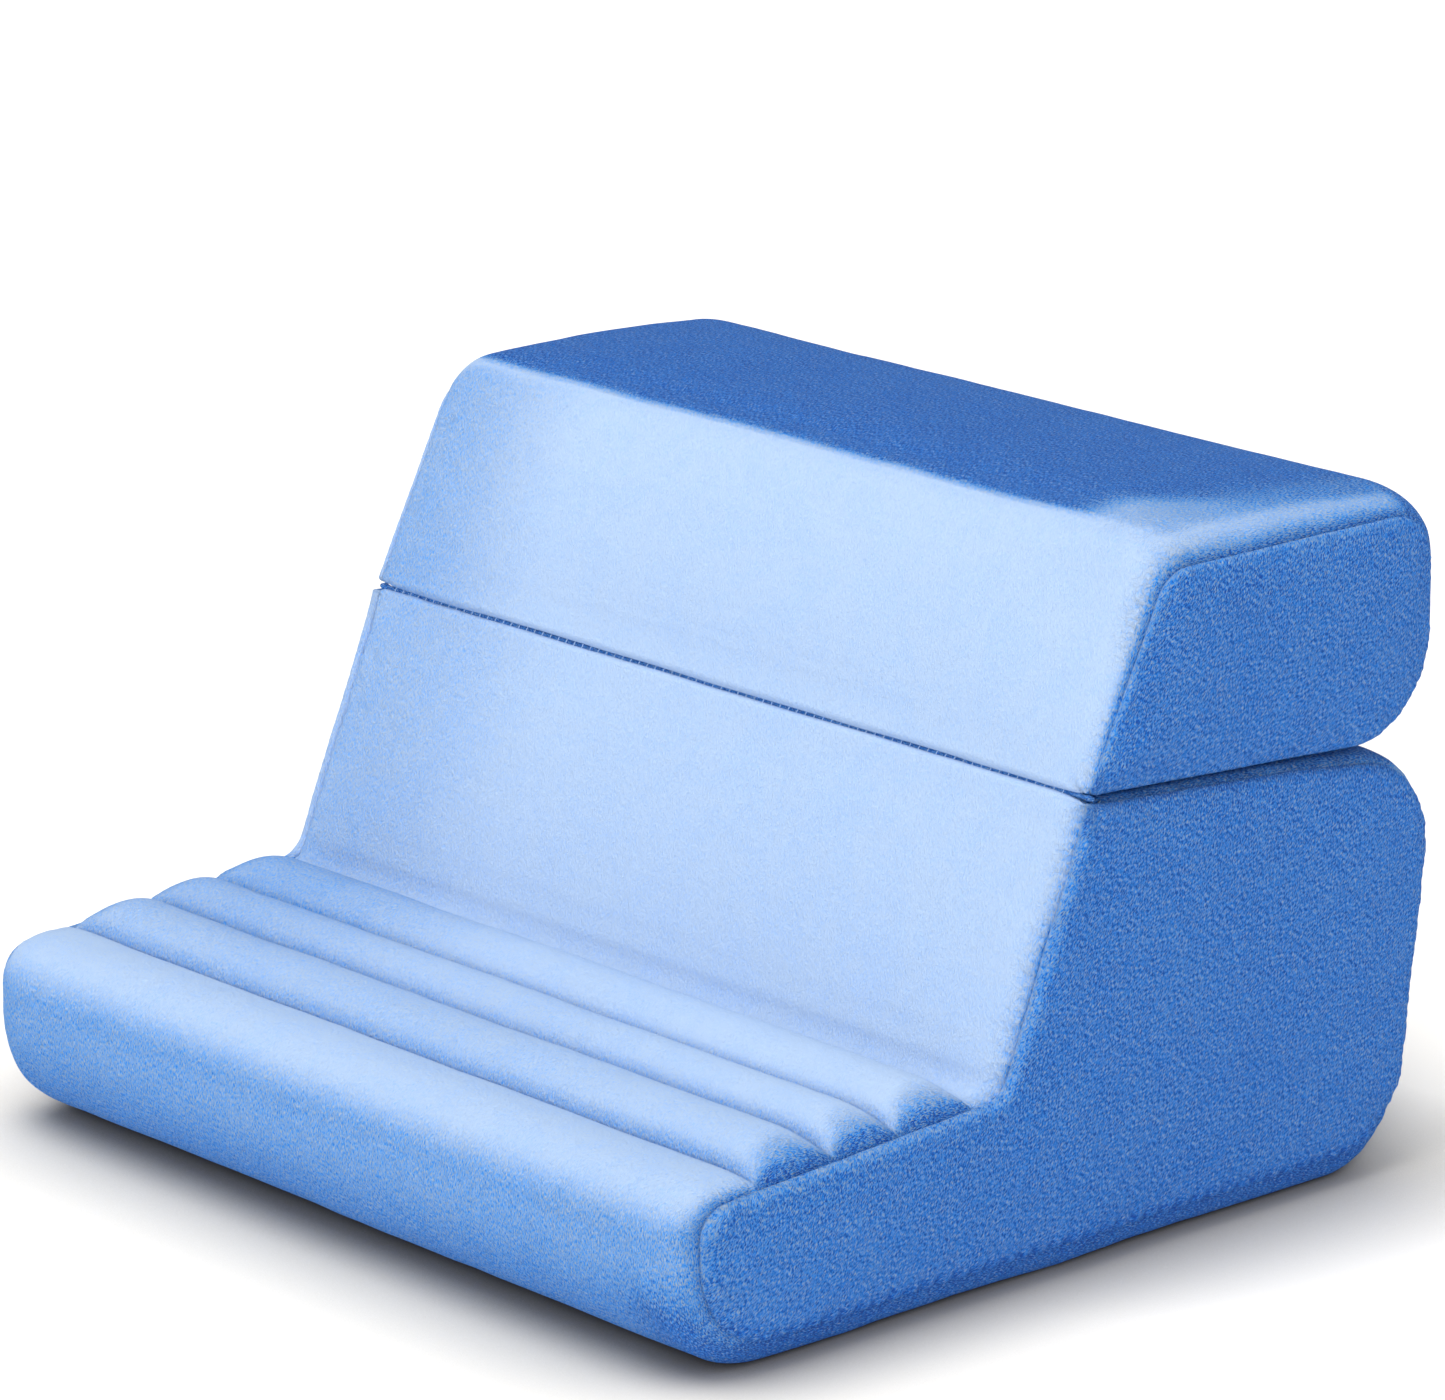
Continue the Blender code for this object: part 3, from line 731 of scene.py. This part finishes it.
def panel_relief(outline, side, rise, gap, nearest, flat_points, seed):
    """The panel's rise with all that its seam, stitches and dents do to it."""
    along, tuck, low = outline.along[nearest], outline.tuck[nearest], lowness(outline)[nearest]
    grow = np.clip(rise / (PANEL_RIM[-1][1] * outline.roll), 0.0, 1.0)
    # Towards the ends of the crease the panel is drawn in with the seam
    drawn_in = 0.78 + 0.22 * tuck
    rise = rise * (1.0 - (1.0 - drawn_in) * np.exp(-gap / (6.0 * MM)))
    rise = rise * (1.0 - 0.32 * low * np.exp(-gap / (8.0 * MM)))
    rise = rise + seam_wander(outline, side, along, gap)
    calm = 0.4 if side < 0.0 else 1.0
    rise = rise - (0.6 + 0.4 * low) * calm * seam_pulls(along, gap, low) * grow
    rise = rise + 0.50 * calm * MM * pucker(along + side * 7.0, gap, seed, 6.0 * MM) * grow
    solid = np.stack([np.full(len(gap), side * 0.2), flat_points[:, 0], flat_points[:, 1]], axis=1)
    broad = value_noise(solid, 31.0 * MM, seed + 2) * np.clip(gap / (12.0 * MM), 0.0, 1.0)
    small = value_noise(solid, 8.0 * MM, seed + 3) * np.clip(gap / (5.0 * MM), 0.0, 1.0)
    return rise + 0.45 * MM * broad + 0.12 * MM * small


def ring_faces(ring_count, count):
    """The four-sided faces between rings of this many points."""
    faces = []
    for ring in range(ring_count - 1):
        for number in range(count):
            after = (number + 1) % count
            faces.append([ring * count + number, ring * count + after,
                          (ring + 1) * count + after, (ring + 1) * count + number])
    return faces


def make_panel(name, outline, side, material, seed):
    """A side panel from the valley of the seam over its rolled rim to a gentle dome; side is 1 or -1."""
    count = len(outline.place)
    rim = PANEL_RIM * outline.roll
    rim_inset, rim_rise = rim[-1]
    rings = [outline.place - outline.normal * (inset * outline.tuck)[:, None] for inset, rise in rim]
    tree = filled_tree([(place[0], place[1], 0.0) for place in outline.place])
    inner = grid_inside(outline, rings[-1])
    inner = inner[nearest_on_seam(tree, inner)[1] > rim_inset + 0.7 * PANEL_PITCH]
    fill_points, origin, triangles = fill_ring(rings[-1], inner)
    # Ring vertices come first, then the points of the fill; the fill's rim is the last ring
    place_of, extra = {}, []
    for number, source in enumerate(origin):
        if 0 <= source < count:
            place_of[number] = (len(rings) - 1) * count + source
        else:
            place_of[number] = len(rings) * count + len(extra)
            extra.append(number)
    flat_points = np.concatenate([*rings, fill_points[extra]])
    steps = np.linalg.norm(np.diff(rim, axis=0), axis=1)
    lengths = np.concatenate([np.cumsum(steps[::-1])[::-1], [0.0]])
    flat_rings = [rings[-1] + outline.normal * length for length in lengths]
    uv = np.concatenate([*flat_rings, fill_points[extra]])
    nearest, gap = nearest_on_seam(tree, flat_points)
    past = np.maximum(gap[len(rings) * count:] - rim_inset, 0.0)
    dome = PANEL_RIM[-1][1] + PANEL_SWELL - rim_rise
    domed = rim_rise + dome * (1.0 - np.exp(-past / PANEL_SETTLE))
    rise = np.concatenate([np.repeat(rim[:, 1], count), domed])
    rise = panel_relief(outline, side, rise, gap, nearest, flat_points, seed)
    points = np.stack([side * (SEAM_HALF_WIDTH + rise), flat_points[:, 0], flat_points[:, 1]], axis=1)
    faces = ring_faces(len(rings), count) + [[place_of[v] for v in triangle] for triangle in triangles]
    if side < 0.0:
        faces = [face[::-1] for face in faces]
    return add_mesh(name, points, faces, uv, material), gap, outline.along[nearest]


def carried(source, values, targets):
    """Values at the source points, carried to the targets from the four nearest."""
    tree = filled_tree(source)
    result = np.zeros((len(targets), values.shape[1]))
    for number, point in enumerate(targets):
        found = tree.find_n(point, 4)
        weights = np.array([1.0 / (item[2] ** 2 + 1e-7) for item in found])
        picked = values[[item[1] for item in found]]
        result[number] = (picked * weights[:, None]).sum(axis=0) / weights.sum()
    return result


def even_form(name, pieces):
    """One closed, evenly meshed body that follows all the pieces of a block's cover."""
    points, faces = [], []
    for piece in pieces:
        start = sum(len(group) for group in points)
        points.append(shape_points(piece))
        faces += [[start + v for v in polygon.vertices] for polygon in piece.data.polygons]
    mesh = bpy.data.meshes.new(name)
    mesh.from_pydata(np.concatenate(points).tolist(), [], faces)
    form = bpy.data.objects.new(name, mesh)
    bpy.context.scene.collection.objects.link(form)
    remesh = form.modifiers.new("Grain", "REMESH")
    remesh.mode = "VOXEL"
    remesh.voxel_size = FORM_GRAIN
    evaluated = form.evaluated_get(bpy.context.evaluated_depsgraph_get())
    form.data = bpy.data.meshes.new_from_object(evaluated)
    form.modifiers.clear()
    return form


def sewn_points(outline):
    """Points along a block's seams, and across it along its grooves and the crease."""
    held = [np.insert(outline.place, 0, side * SEAM_HALF_WIDTH, axis=1) for side in (-1.0, 1.0)]
    across = np.arange(-0.130, 0.131, 3.0 * MM)
    if outline.ribbed:
        lines = [(y, tray_z(y)) for y in GROOVES] + [(CREASE_Y, CREASE_Z), (FOOT_Y, tray_z(FOOT_Y))]
    else:
        lines = [(TOP_FOOT_Y, TOP_FOOT_Z)]
    held += [np.array([(x, y, z) for x in across]) for y, z in lines]
    return np.concatenate(held)


def hold_form(form, outline):
    """Holds the form by its seams, and where it lies on the floor or on the other block."""
    points, normals = shape_points(form), vertex_normals(form)
    tree = filled_tree(sewn_points(outline))
    near = np.array([tree.find(point)[2] for point in points])
    weight = 1.0 - np.clip((near - 5.0 * MM) / (9.0 * MM), 0.0, 1.0)
    in_cleft = np.abs(points[:, 2] - cleft_z(points[:, 1], 0.0)) < 6.0 * MM
    in_cleft &= (points[:, 1] > CREASE_Y) & (np.abs(normals[:, 2]) > 0.7)
    weight[in_cleft | (points[:, 2] < 5.0 * MM)] = 1.0
    group = form.vertex_groups.new(name="held")
    for number, value in enumerate(weight):
        if value > 0.0:
            group.add([number], float(value), "REPLACE")


def blow_up(form):
    """How far each vertex of the form moves when it is blown up as cloth, outwards only and capped."""
    scene = bpy.context.scene
    rest, normals = shape_points(form), vertex_normals(form)
    cloth = form.modifiers.new("Cloth", "CLOTH")
    cloth.settings.vertex_group_mass = "held"
    cloth.settings.use_pressure = True
    cloth.settings.uniform_pressure_force = CLOTH_PRESSURE
    cloth.settings.effector_weights.gravity = 0.0
    cloth.settings.quality = 5
    for frame_number in range(1, CLOTH_FRAMES + 1):
        scene.frame_set(frame_number)
    evaluated = form.evaluated_get(bpy.context.evaluated_depsgraph_get())
    outwards = ((vertex_vectors(evaluated, "co") - rest) * normals).sum(axis=1)
    scene.frame_set(1)
    rise = SWELL_CAP * np.tanh(np.maximum(outwards, 0.0) / SWELL_CAP)
    return rest, normals * rise[:, None]


def swell_cover(name, outline, pieces):
    """Blows a block's cover up a little between its seams, and moves its pieces with it."""
    form = even_form(name + "_form", pieces)
    hold_form(form, outline)
    rest, push = blow_up(form)
    bpy.data.objects.remove(form, do_unlink=True)
    for piece in pieces:
        points = shape_points(piece)
        points += carried(rest, push, points)
        points[:, 2] = np.maximum(points[:, 2], LOWEST)
        piece.data.vertices.foreach_set("co", points.astype(np.float32).ravel())
        piece.data.update()


def crease_line():
    """The hinge line in the crease, and the direction up the face there."""
    base = base_outline.arc(TRAY_EDGE - 1)[5]
    top = top_outline.arc(0)[5]
    up = (top - base) / np.linalg.norm(top - base)
    front = np.array([-up[1], up[0]])
    return (base + top) / 2.0 + front * (CREASE_RADIUS - CAD_CREASE_RADIUS), up, front


def add_tube(name, centres, first_axes, second_axes, sides, material):
    """A closed tube through its centres; the axes give its half sizes at each."""
    angles = 2.0 * np.pi * np.arange(sides) / sides
    points = (centres[:, None, :] + first_axes[:, None, :] * np.cos(angles)[None, :, None]
              + second_axes[:, None, :] * np.sin(angles)[None, :, None]).reshape(-1, 3)
    rings = len(centres)
    faces = [[f[0], f[3], f[2], f[1]] for f in ring_faces(rings, sides)]
    faces.append(list(range(sides)))
    faces.append(list(range((rings - 1) * sides, rings * sides))[::-1])
    uv = np.stack([points[:, 0], np.tile(angles, rings) * 1.5 * MM], axis=1)
    return add_mesh(name, points, faces, uv, material)


def crease_tape(middle, up, front):
    """The narrow tape that joins the covers."""
    x = np.arange(-TAPE_REACH, TAPE_REACH + 0.1 * MM, 1.0 * MM)
    rough = along_noise(x, 4.2 * MM, 71)
    centres = np.zeros((len(x), 3))
    centres[:, 0] = x
    centres[:, 1:] = middle + front * CREASE_SEAT + front * (rough * 0.12 * MM)[:, None]
    ends = np.sqrt(np.clip(1.0 - (np.abs(x) / 0.1409) ** 90, 0.05, 1.0))
    # The ends are thicker, so that they fill the hollow between the rounded corners
    wider = TAPE_END_GROWTH * eased(np.abs(x), 0.1365, 0.1395) * np.where(x < 0.0, 1.6, 1.0)
    across, out = np.zeros((len(x), 3)), np.zeros((len(x), 3))
    across[:, 1:] = up * ((TAPE_HALF_WIDTH + wider) * MM * ends)[:, None]
    out[:, 1:] = front * ((TAPE_HALF_DEPTH + 0.12 * rough + wider) * MM * ends)[:, None]
    material = plush("tape_plush", NAP_AND_LIGHT_STOPS, 0.0)
    tape = add_tube("crease_tape", centres, across, out, TAPE_SIDES, material)
    x = shape_points(tape)[:, 0]
    # Paler towards the left end and darker at the right end
    tone = TAPE_TONE + 0.12 * eased(-x, 0.130, 0.136) - 0.26 * eased(x, 0.1375, 0.1400)
    # The tube's normals point inwards, so this is its front, which lies deep between the covers and gets
    # painted shade
    facing = eased(-vertex_normals(tape)[:, 1:] @ front, -0.1, 0.4)
    set_pile(tape, mixed(tone, TAPE_FRONT_TONE, facing), np.full(len(x), 0.2))
    return tape


def stitch_ring(place_x, share, centre, up, front):
    """One ring of points round a stitch's thread; share runs from -1 to 1 along it."""
    radius = SEWN_RADIUS * math.sqrt(max(0.04, 1.0 - abs(share) ** 4))
    arch = SEWN_ARCH * math.sqrt(max(0.0, 1.0 - (0.75 * share) ** 2))
    ring = []
    for side in range(SEWN_SIDES):
        angle = 2.0 * math.pi * side / SEWN_SIDES
        at = centre + up * share * SEWN_HALF_LENGTH + front * (arch + radius * math.sin(angle))
        ring.append((place_x + radius * math.cos(angle), at[0], at[1]))
    return ring


def crease_stitches(middle, up, front):
    """A row of stitches that lean a little and arch over the tape."""
    points, faces, uv = [], [], []
    for place_x in np.arange(-SEWN_REACH, SEWN_REACH + 0.1 * MM, SEWN_PITCH):
        lean = (0.35 + 0.12 * float(along_noise(np.array([place_x]), 7.0 * MM, 83)[0])) * MM
        start = len(points)
        for share in np.linspace(-1.0, 1.0, SEWN_RINGS):
            ring = stitch_ring(place_x + lean * share, share, middle + front * CREASE_SEAT, up, front)
            points += ring
            uv += [(point[0], share * MM) for point in ring]
        first = list(range(start, start + SEWN_SIDES))
        last = list(range(len(points) - SEWN_SIDES, len(points)))
        faces += [[start + v for v in face] for face in ring_faces(SEWN_RINGS, SEWN_SIDES)]
        faces += [first[::-1], last]
    return add_mesh("crease_stitches", points, faces, uv, thread_finish())


def new_material(name):
    material = bpy.data.materials.new(name)
    material.use_nodes = True
    return material, material.node_tree, material.node_tree.nodes["Principled BSDF"]


def settle(made, **values):
    """Gives a node these settings and socket values, with _ for a space in a socket's name."""
    for key, value in values.items():
        if hasattr(made, key):
            setattr(made, key, value)
        else:
            made.inputs[key.replace("_", " ")].default_value = value
    return made


def node(tree, kind, **values):
    return settle(tree.nodes.new("ShaderNode" + kind), **values)


def maths(tree, operation, *values):
    """The socket with the result of an operation on numbers and sockets."""
    made = node(tree, "Math", operation=operation)
    for socket, value in zip(made.inputs, values):
        if isinstance(value, (int, float)):
            socket.default_value = value
        else:
            tree.links.new(value, socket)
    return made.outputs[0]


def noise(tree, place, cell, **values):
    """Noise with cells of this size over the given coordinates."""
    made = node(tree, "TexNoise", Scale=1.0 / cell, **values)
    tree.links.new(place, made.inputs["Vector"])
    return made.outputs["Fac"]


def add_colours(tree, shader, tone, stops, interpolation="LINEAR"):
    """Colours the shader by a tone from 0 to 1, through these stops."""
    ramp = node(tree, "ValToRGB")
    ramp.color_ramp.interpolation = interpolation
    elements = ramp.color_ramp.elements
    while len(elements) < len(stops):
        elements.new(0.5)
    for element, (position, colour) in zip(elements, stops):
        element.position = position
        element.color = (*colour, 1.0)
    tree.links.new(tone, ramp.inputs["Fac"])
    tree.links.new(ramp.outputs["Color"], shader.inputs["Base Color"])


def add_bump(tree, shader, height, strength, distance):
    bump = node(tree, "Bump", Strength=strength, Distance=distance)
    tree.links.new(height, bump.inputs["Height"])
    tree.links.new(bump.outputs["Normal"], shader.inputs["Normal"])


def pile_strokes(tree, turn):
    """Fine strokes of the pile along the cloth, turned by an angle."""
    uv = node(tree, "UVMap", uv_map="UVMap")
    lay = node(tree, "Mapping", Rotation=(0.0, 0.0, turn))
    tree.links.new(uv.outputs[0], lay.inputs["Vector"])
    stretch = node(tree, "Mapping", Scale=(1.0 / STROKE_WIDTH, 1.0 / STROKE_LENGTH, 1.0))
    tree.links.new(lay.outputs[0], stretch.inputs["Vector"])
    return noise(tree, stretch.outputs[0], 1.0, Detail=2.0, Roughness=0.55, Distortion=0.4)


def pile_clouds(tree, place):
    """Broad paler and deeper parts where the pile has been brushed by hand, as a tone to add."""
    clouds = noise(tree, place, 34.0 * MM, Detail=2.0, Roughness=0.5)
    patches = noise(tree, place, 13.0 * MM, Detail=2.0, Roughness=0.5, Distortion=1.4)
    brushed = node(tree, "MapRange", interpolation_type="SMOOTHSTEP",
                   From_Min=0.42, From_Max=0.60, To_Min=0.44, To_Max=0.56)
    tree.links.new(patches, brushed.inputs["Value"])
    total = maths(tree, "MULTIPLY_ADD", clouds, 0.22, brushed.outputs["Result"])
    total = maths(tree, "SUBTRACT", total, 0.5 + 0.11)
    return maths(tree, "MULTIPLY", total, 0.30)


def plush(name, stops, stroke_turn):
    """Short pile: strokes that lean one way, small clumps and broad clouds, with a pale sheen."""
    material, tree, shader = new_material(name)
    place = node(tree, "TexCoord").outputs["Object"]
    nap_and_painted_light = node(tree, "Attribute", attribute_name="nap_and_painted_light").outputs["Fac"]
    coarse = node(tree, "Attribute", attribute_name="coarse").outputs["Fac"]
    strokes = pile_strokes(tree, stroke_turn)
    tufts = noise(tree, place, 1.5 * MM, Detail=3.0, Roughness=0.6, Distortion=0.8)
    # The grain shows most where the pile is deep and hardly at all where painted light makes it pale
    depth = maths(tree, "MULTIPLY_ADD", nap_and_painted_light, -1.42, 1.52)
    depth = maths(tree, "MAXIMUM", depth, 0.14)
    depth = maths(tree, "MINIMUM", depth, 1.0)
    stroke_tone = maths(tree, "MULTIPLY_ADD", strokes, STROKE_CONTRAST, -STROKE_CONTRAST / 2.0)
    stroke_tone = maths(tree, "MULTIPLY", stroke_tone, depth)
    tuft_depth = maths(tree, "MULTIPLY_ADD", coarse, 1.45, 0.06)
    tuft_tone = maths(tree, "SUBTRACT", tufts, 0.5)
    tuft_tone = maths(tree, "MULTIPLY", tuft_tone, tuft_depth)
    tone = maths(tree, "ADD", nap_and_painted_light, stroke_tone)
    tone = maths(tree, "ADD", tone, tuft_tone)
    tone = maths(tree, "ADD", tone, pile_clouds(tree, place))
    add_colours(tree, shader, tone, stops, "B_SPLINE")
    grain = maths(tree, "MULTIPLY", strokes, depth)
    ruffle = maths(tree, "MULTIPLY", tufts, coarse)
    add_bump(tree, shader, maths(tree, "ADD", ruffle, grain), 1.0, 3.0 * MM)
    settle(shader, Roughness=0.92, Specular_IOR_Level=0.08,
           Sheen_Weight=0.20, Sheen_Roughness=0.40, Sheen_Tint=(0.55, 0.78, 1.0, 1.0))
    return material


def thread_finish():
    """Twisted sewing thread."""
    material, tree, shader = new_material("seam_thread_blue")
    place = node(tree, "TexCoord").outputs["Object"]
    twist = node(tree, "TexWave", bands_direction="DIAGONAL", Scale=900.0, Distortion=1.5)
    tree.links.new(place, twist.inputs["Vector"])
    stops = ((0.0, (0.300, 0.480, 0.820)), (1.0, (0.450, 0.620, 0.880)))
    add_colours(tree, shader, twist.outputs["Fac"], stops)
    add_bump(tree, shader, twist.outputs["Fac"], 0.6, 0.1 * MM)
    settle(shader, Roughness=0.6)
    return material


def filling(name, pore, deep, pale):
    """Foam or wadding inside the covers: pores or fibres as uneven colour and bump."""
    material, tree, shader = new_material(name)
    place = node(tree, "TexCoord").outputs["Object"]
    pores = noise(tree, place, pore, Detail=3.0, Roughness=0.6)
    add_colours(tree, shader, pores, ((0.0, deep), (1.0, pale)))
    add_bump(tree, shader, pores, 0.8, pore / 2.0)
    settle(shader, Roughness=0.95)
    return material


def mixed_colours(tree, share, first):
    """A node that mixes a plain colour with what its input 7 gets, by a share from 0 to 1."""
    mix = node(tree, "Mix", data_type="RGBA")
    mix.inputs[6].default_value = first
    tree.links.new(share, mix.inputs[0])
    return mix


def floor_finish():
    """Matt white, with a painted shadow beside the cushion, deeper than the lamps alone would make it."""
    material, tree, shader = new_material("floor_white")
    contact = node(tree, "AmbientOcclusion", samples=8, Distance=FLOOR_SHADOW_REACH)
    shade = mixed_colours(tree, contact.outputs["AO"], FLOOR_PAINTED_SHADOW)
    shade.inputs[7].default_value = FLOOR_AWAY
    # The camera sees the floor a little warmer, which keeps the shadow beside a blue object grey
    path = node(tree, "LightPath")
    seen = mixed_colours(tree, path.outputs["Is Camera Ray"], FLOOR_COLOUR)
    tree.links.new(shade.outputs[2], seen.inputs[7])
    tree.links.new(seen.outputs[2], shader.inputs["Base Color"])
    settle(shader, Roughness=0.9, Specular_IOR_Level=0.0)
    return material


def add_floor():
    mesh = bpy.data.meshes.new("floor")
    signs = ((-1.0, -1.0), (1.0, -1.0), (1.0, 1.0), (-1.0, 1.0))
    mesh.from_pydata([(x * FLOOR_REACH, y * FLOOR_REACH, 0.0) for x, y in signs], [], [(0, 1, 2, 3)])
    mesh.materials.append(floor_finish())
    made = bpy.data.objects.new("floor", mesh)
    bpy.context.scene.collection.objects.link(made)
    return made


def add_world():
    world = bpy.data.worlds.new("studio")
    world.use_nodes = True
    bpy.context.scene.world = world
    settle(world.node_tree.nodes["Background"], Color=(1.0, 1.0, 1.0, 1.0), Strength=WORLD_STRENGTH)


def add_sun(name, towards_light, strength, spread):
    lamp = bpy.data.lights.new(name, "SUN")
    lamp.energy = strength
    lamp.angle = math.radians(spread)
    made = bpy.data.objects.new(name, lamp)
    made.rotation_mode = "QUATERNION"
    made.rotation_quaternion = Vector(towards_light).to_track_quat("Z", "Y")
    bpy.context.scene.collection.objects.link(made)


def add_camera():
    data = bpy.data.cameras.new("camera")
    data.sensor_fit = "HORIZONTAL"
    data.sensor_width = SENSOR_WIDTH
    data.lens = FOCAL_PIXELS / FRAME_PIXELS * SENSOR_WIDTH
    data.clip_start = 0.05
    data.clip_end = 50.0
    camera = bpy.data.objects.new("camera", data)
    ahead = Vector(CAMERA_AHEAD).normalized()
    across = Vector((math.cos(CAMERA_AZIMUTH), math.sin(CAMERA_AZIMUTH), 0.0))
    upward = across.cross(ahead)
    rows = zip(across, upward, -ahead, CAMERA_PLACE)
    camera.matrix_world = Matrix((*rows, (0.0, 0.0, 0.0, 1.0)))
    bpy.context.scene.collection.objects.link(camera)
    bpy.context.scene.camera = camera


# Materials of the covers, and of the foam and the wadding that keep their CAD solids
band_plush = plush("band_plush", NAP_AND_LIGHT_STOPS, 0.0)
panel_plush = plush("panel_plush", NAP_AND_LIGHT_STOPS, PANEL_STROKE_TURN)
foam = filling("foam_cells", 1.2 * MM, (0.60, 0.57, 0.47), (0.85, 0.82, 0.72))
wadding = filling("wadding_fibres", 3.0 * MM, (0.70, 0.71, 0.73), (0.92, 0.93, 0.95))
for name, material in (("base_foam_core", foam), ("top_foam_core", foam), ("rib_filling_front", wadding),
                       ("rib_filling_middle", wadding), ("rib_filling_rear", wadding)):
    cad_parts[name].material_slots[0].material = material

# The covers
base_outline = Outline(BASE_CORNERS, True, 131, 1.0)
top_outline = Outline(TOP_CORNERS, False, 173, TOP_ROLL)

base_band, far, along = make_band("base_plush_band", base_outline, band_plush, 11)
set_pile(base_band, *band_pile(base_band, far, along, False))
top_band, far, along = make_band("top_plush_band", top_outline, band_plush, 23)
set_pile(top_band, *band_pile(top_band, far, along, True))
covers = {"base": [base_band], "top": [top_band]}
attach(base_band, "base_block")
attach(top_band, "top_block")
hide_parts("base_cover_band")
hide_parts("top_cover_band")
for side_name, side in (("left", -1.0), ("right", 1.0)):
    for block, outline, seed in (("base", base_outline, 41), ("top", top_outline, 57)):
        panel, gap, along = make_panel(block + "_plush_panel_" + side_name, outline, side, panel_plush, seed)
        set_pile(panel, *panel_pile(panel, gap, along))
        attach(panel, block + "_block")
        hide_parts(block + "_side_panel_" + side_name)
        covers[block].append(panel)

swell_cover("base", base_outline, covers["base"])
swell_cover("top", top_outline, covers["top"])

# The sewn crease: a narrow tape that joins the covers, and its stitches
middle, up, front = crease_line()
tape = crease_tape(middle, up, front)
stitches = crease_stitches(middle, up, front)
for piece in (tape, stitches):
    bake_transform(piece)
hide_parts("hinge_seam")

# Floor, light and camera
floor = add_floor()
add_world()
add_sun("key", *KEY_SUN)
add_sun("fill", *FILL_SUN)
add_camera()
bpy.context.scene.view_settings.view_transform = "Standard"

bpy.context.view_layer.update()
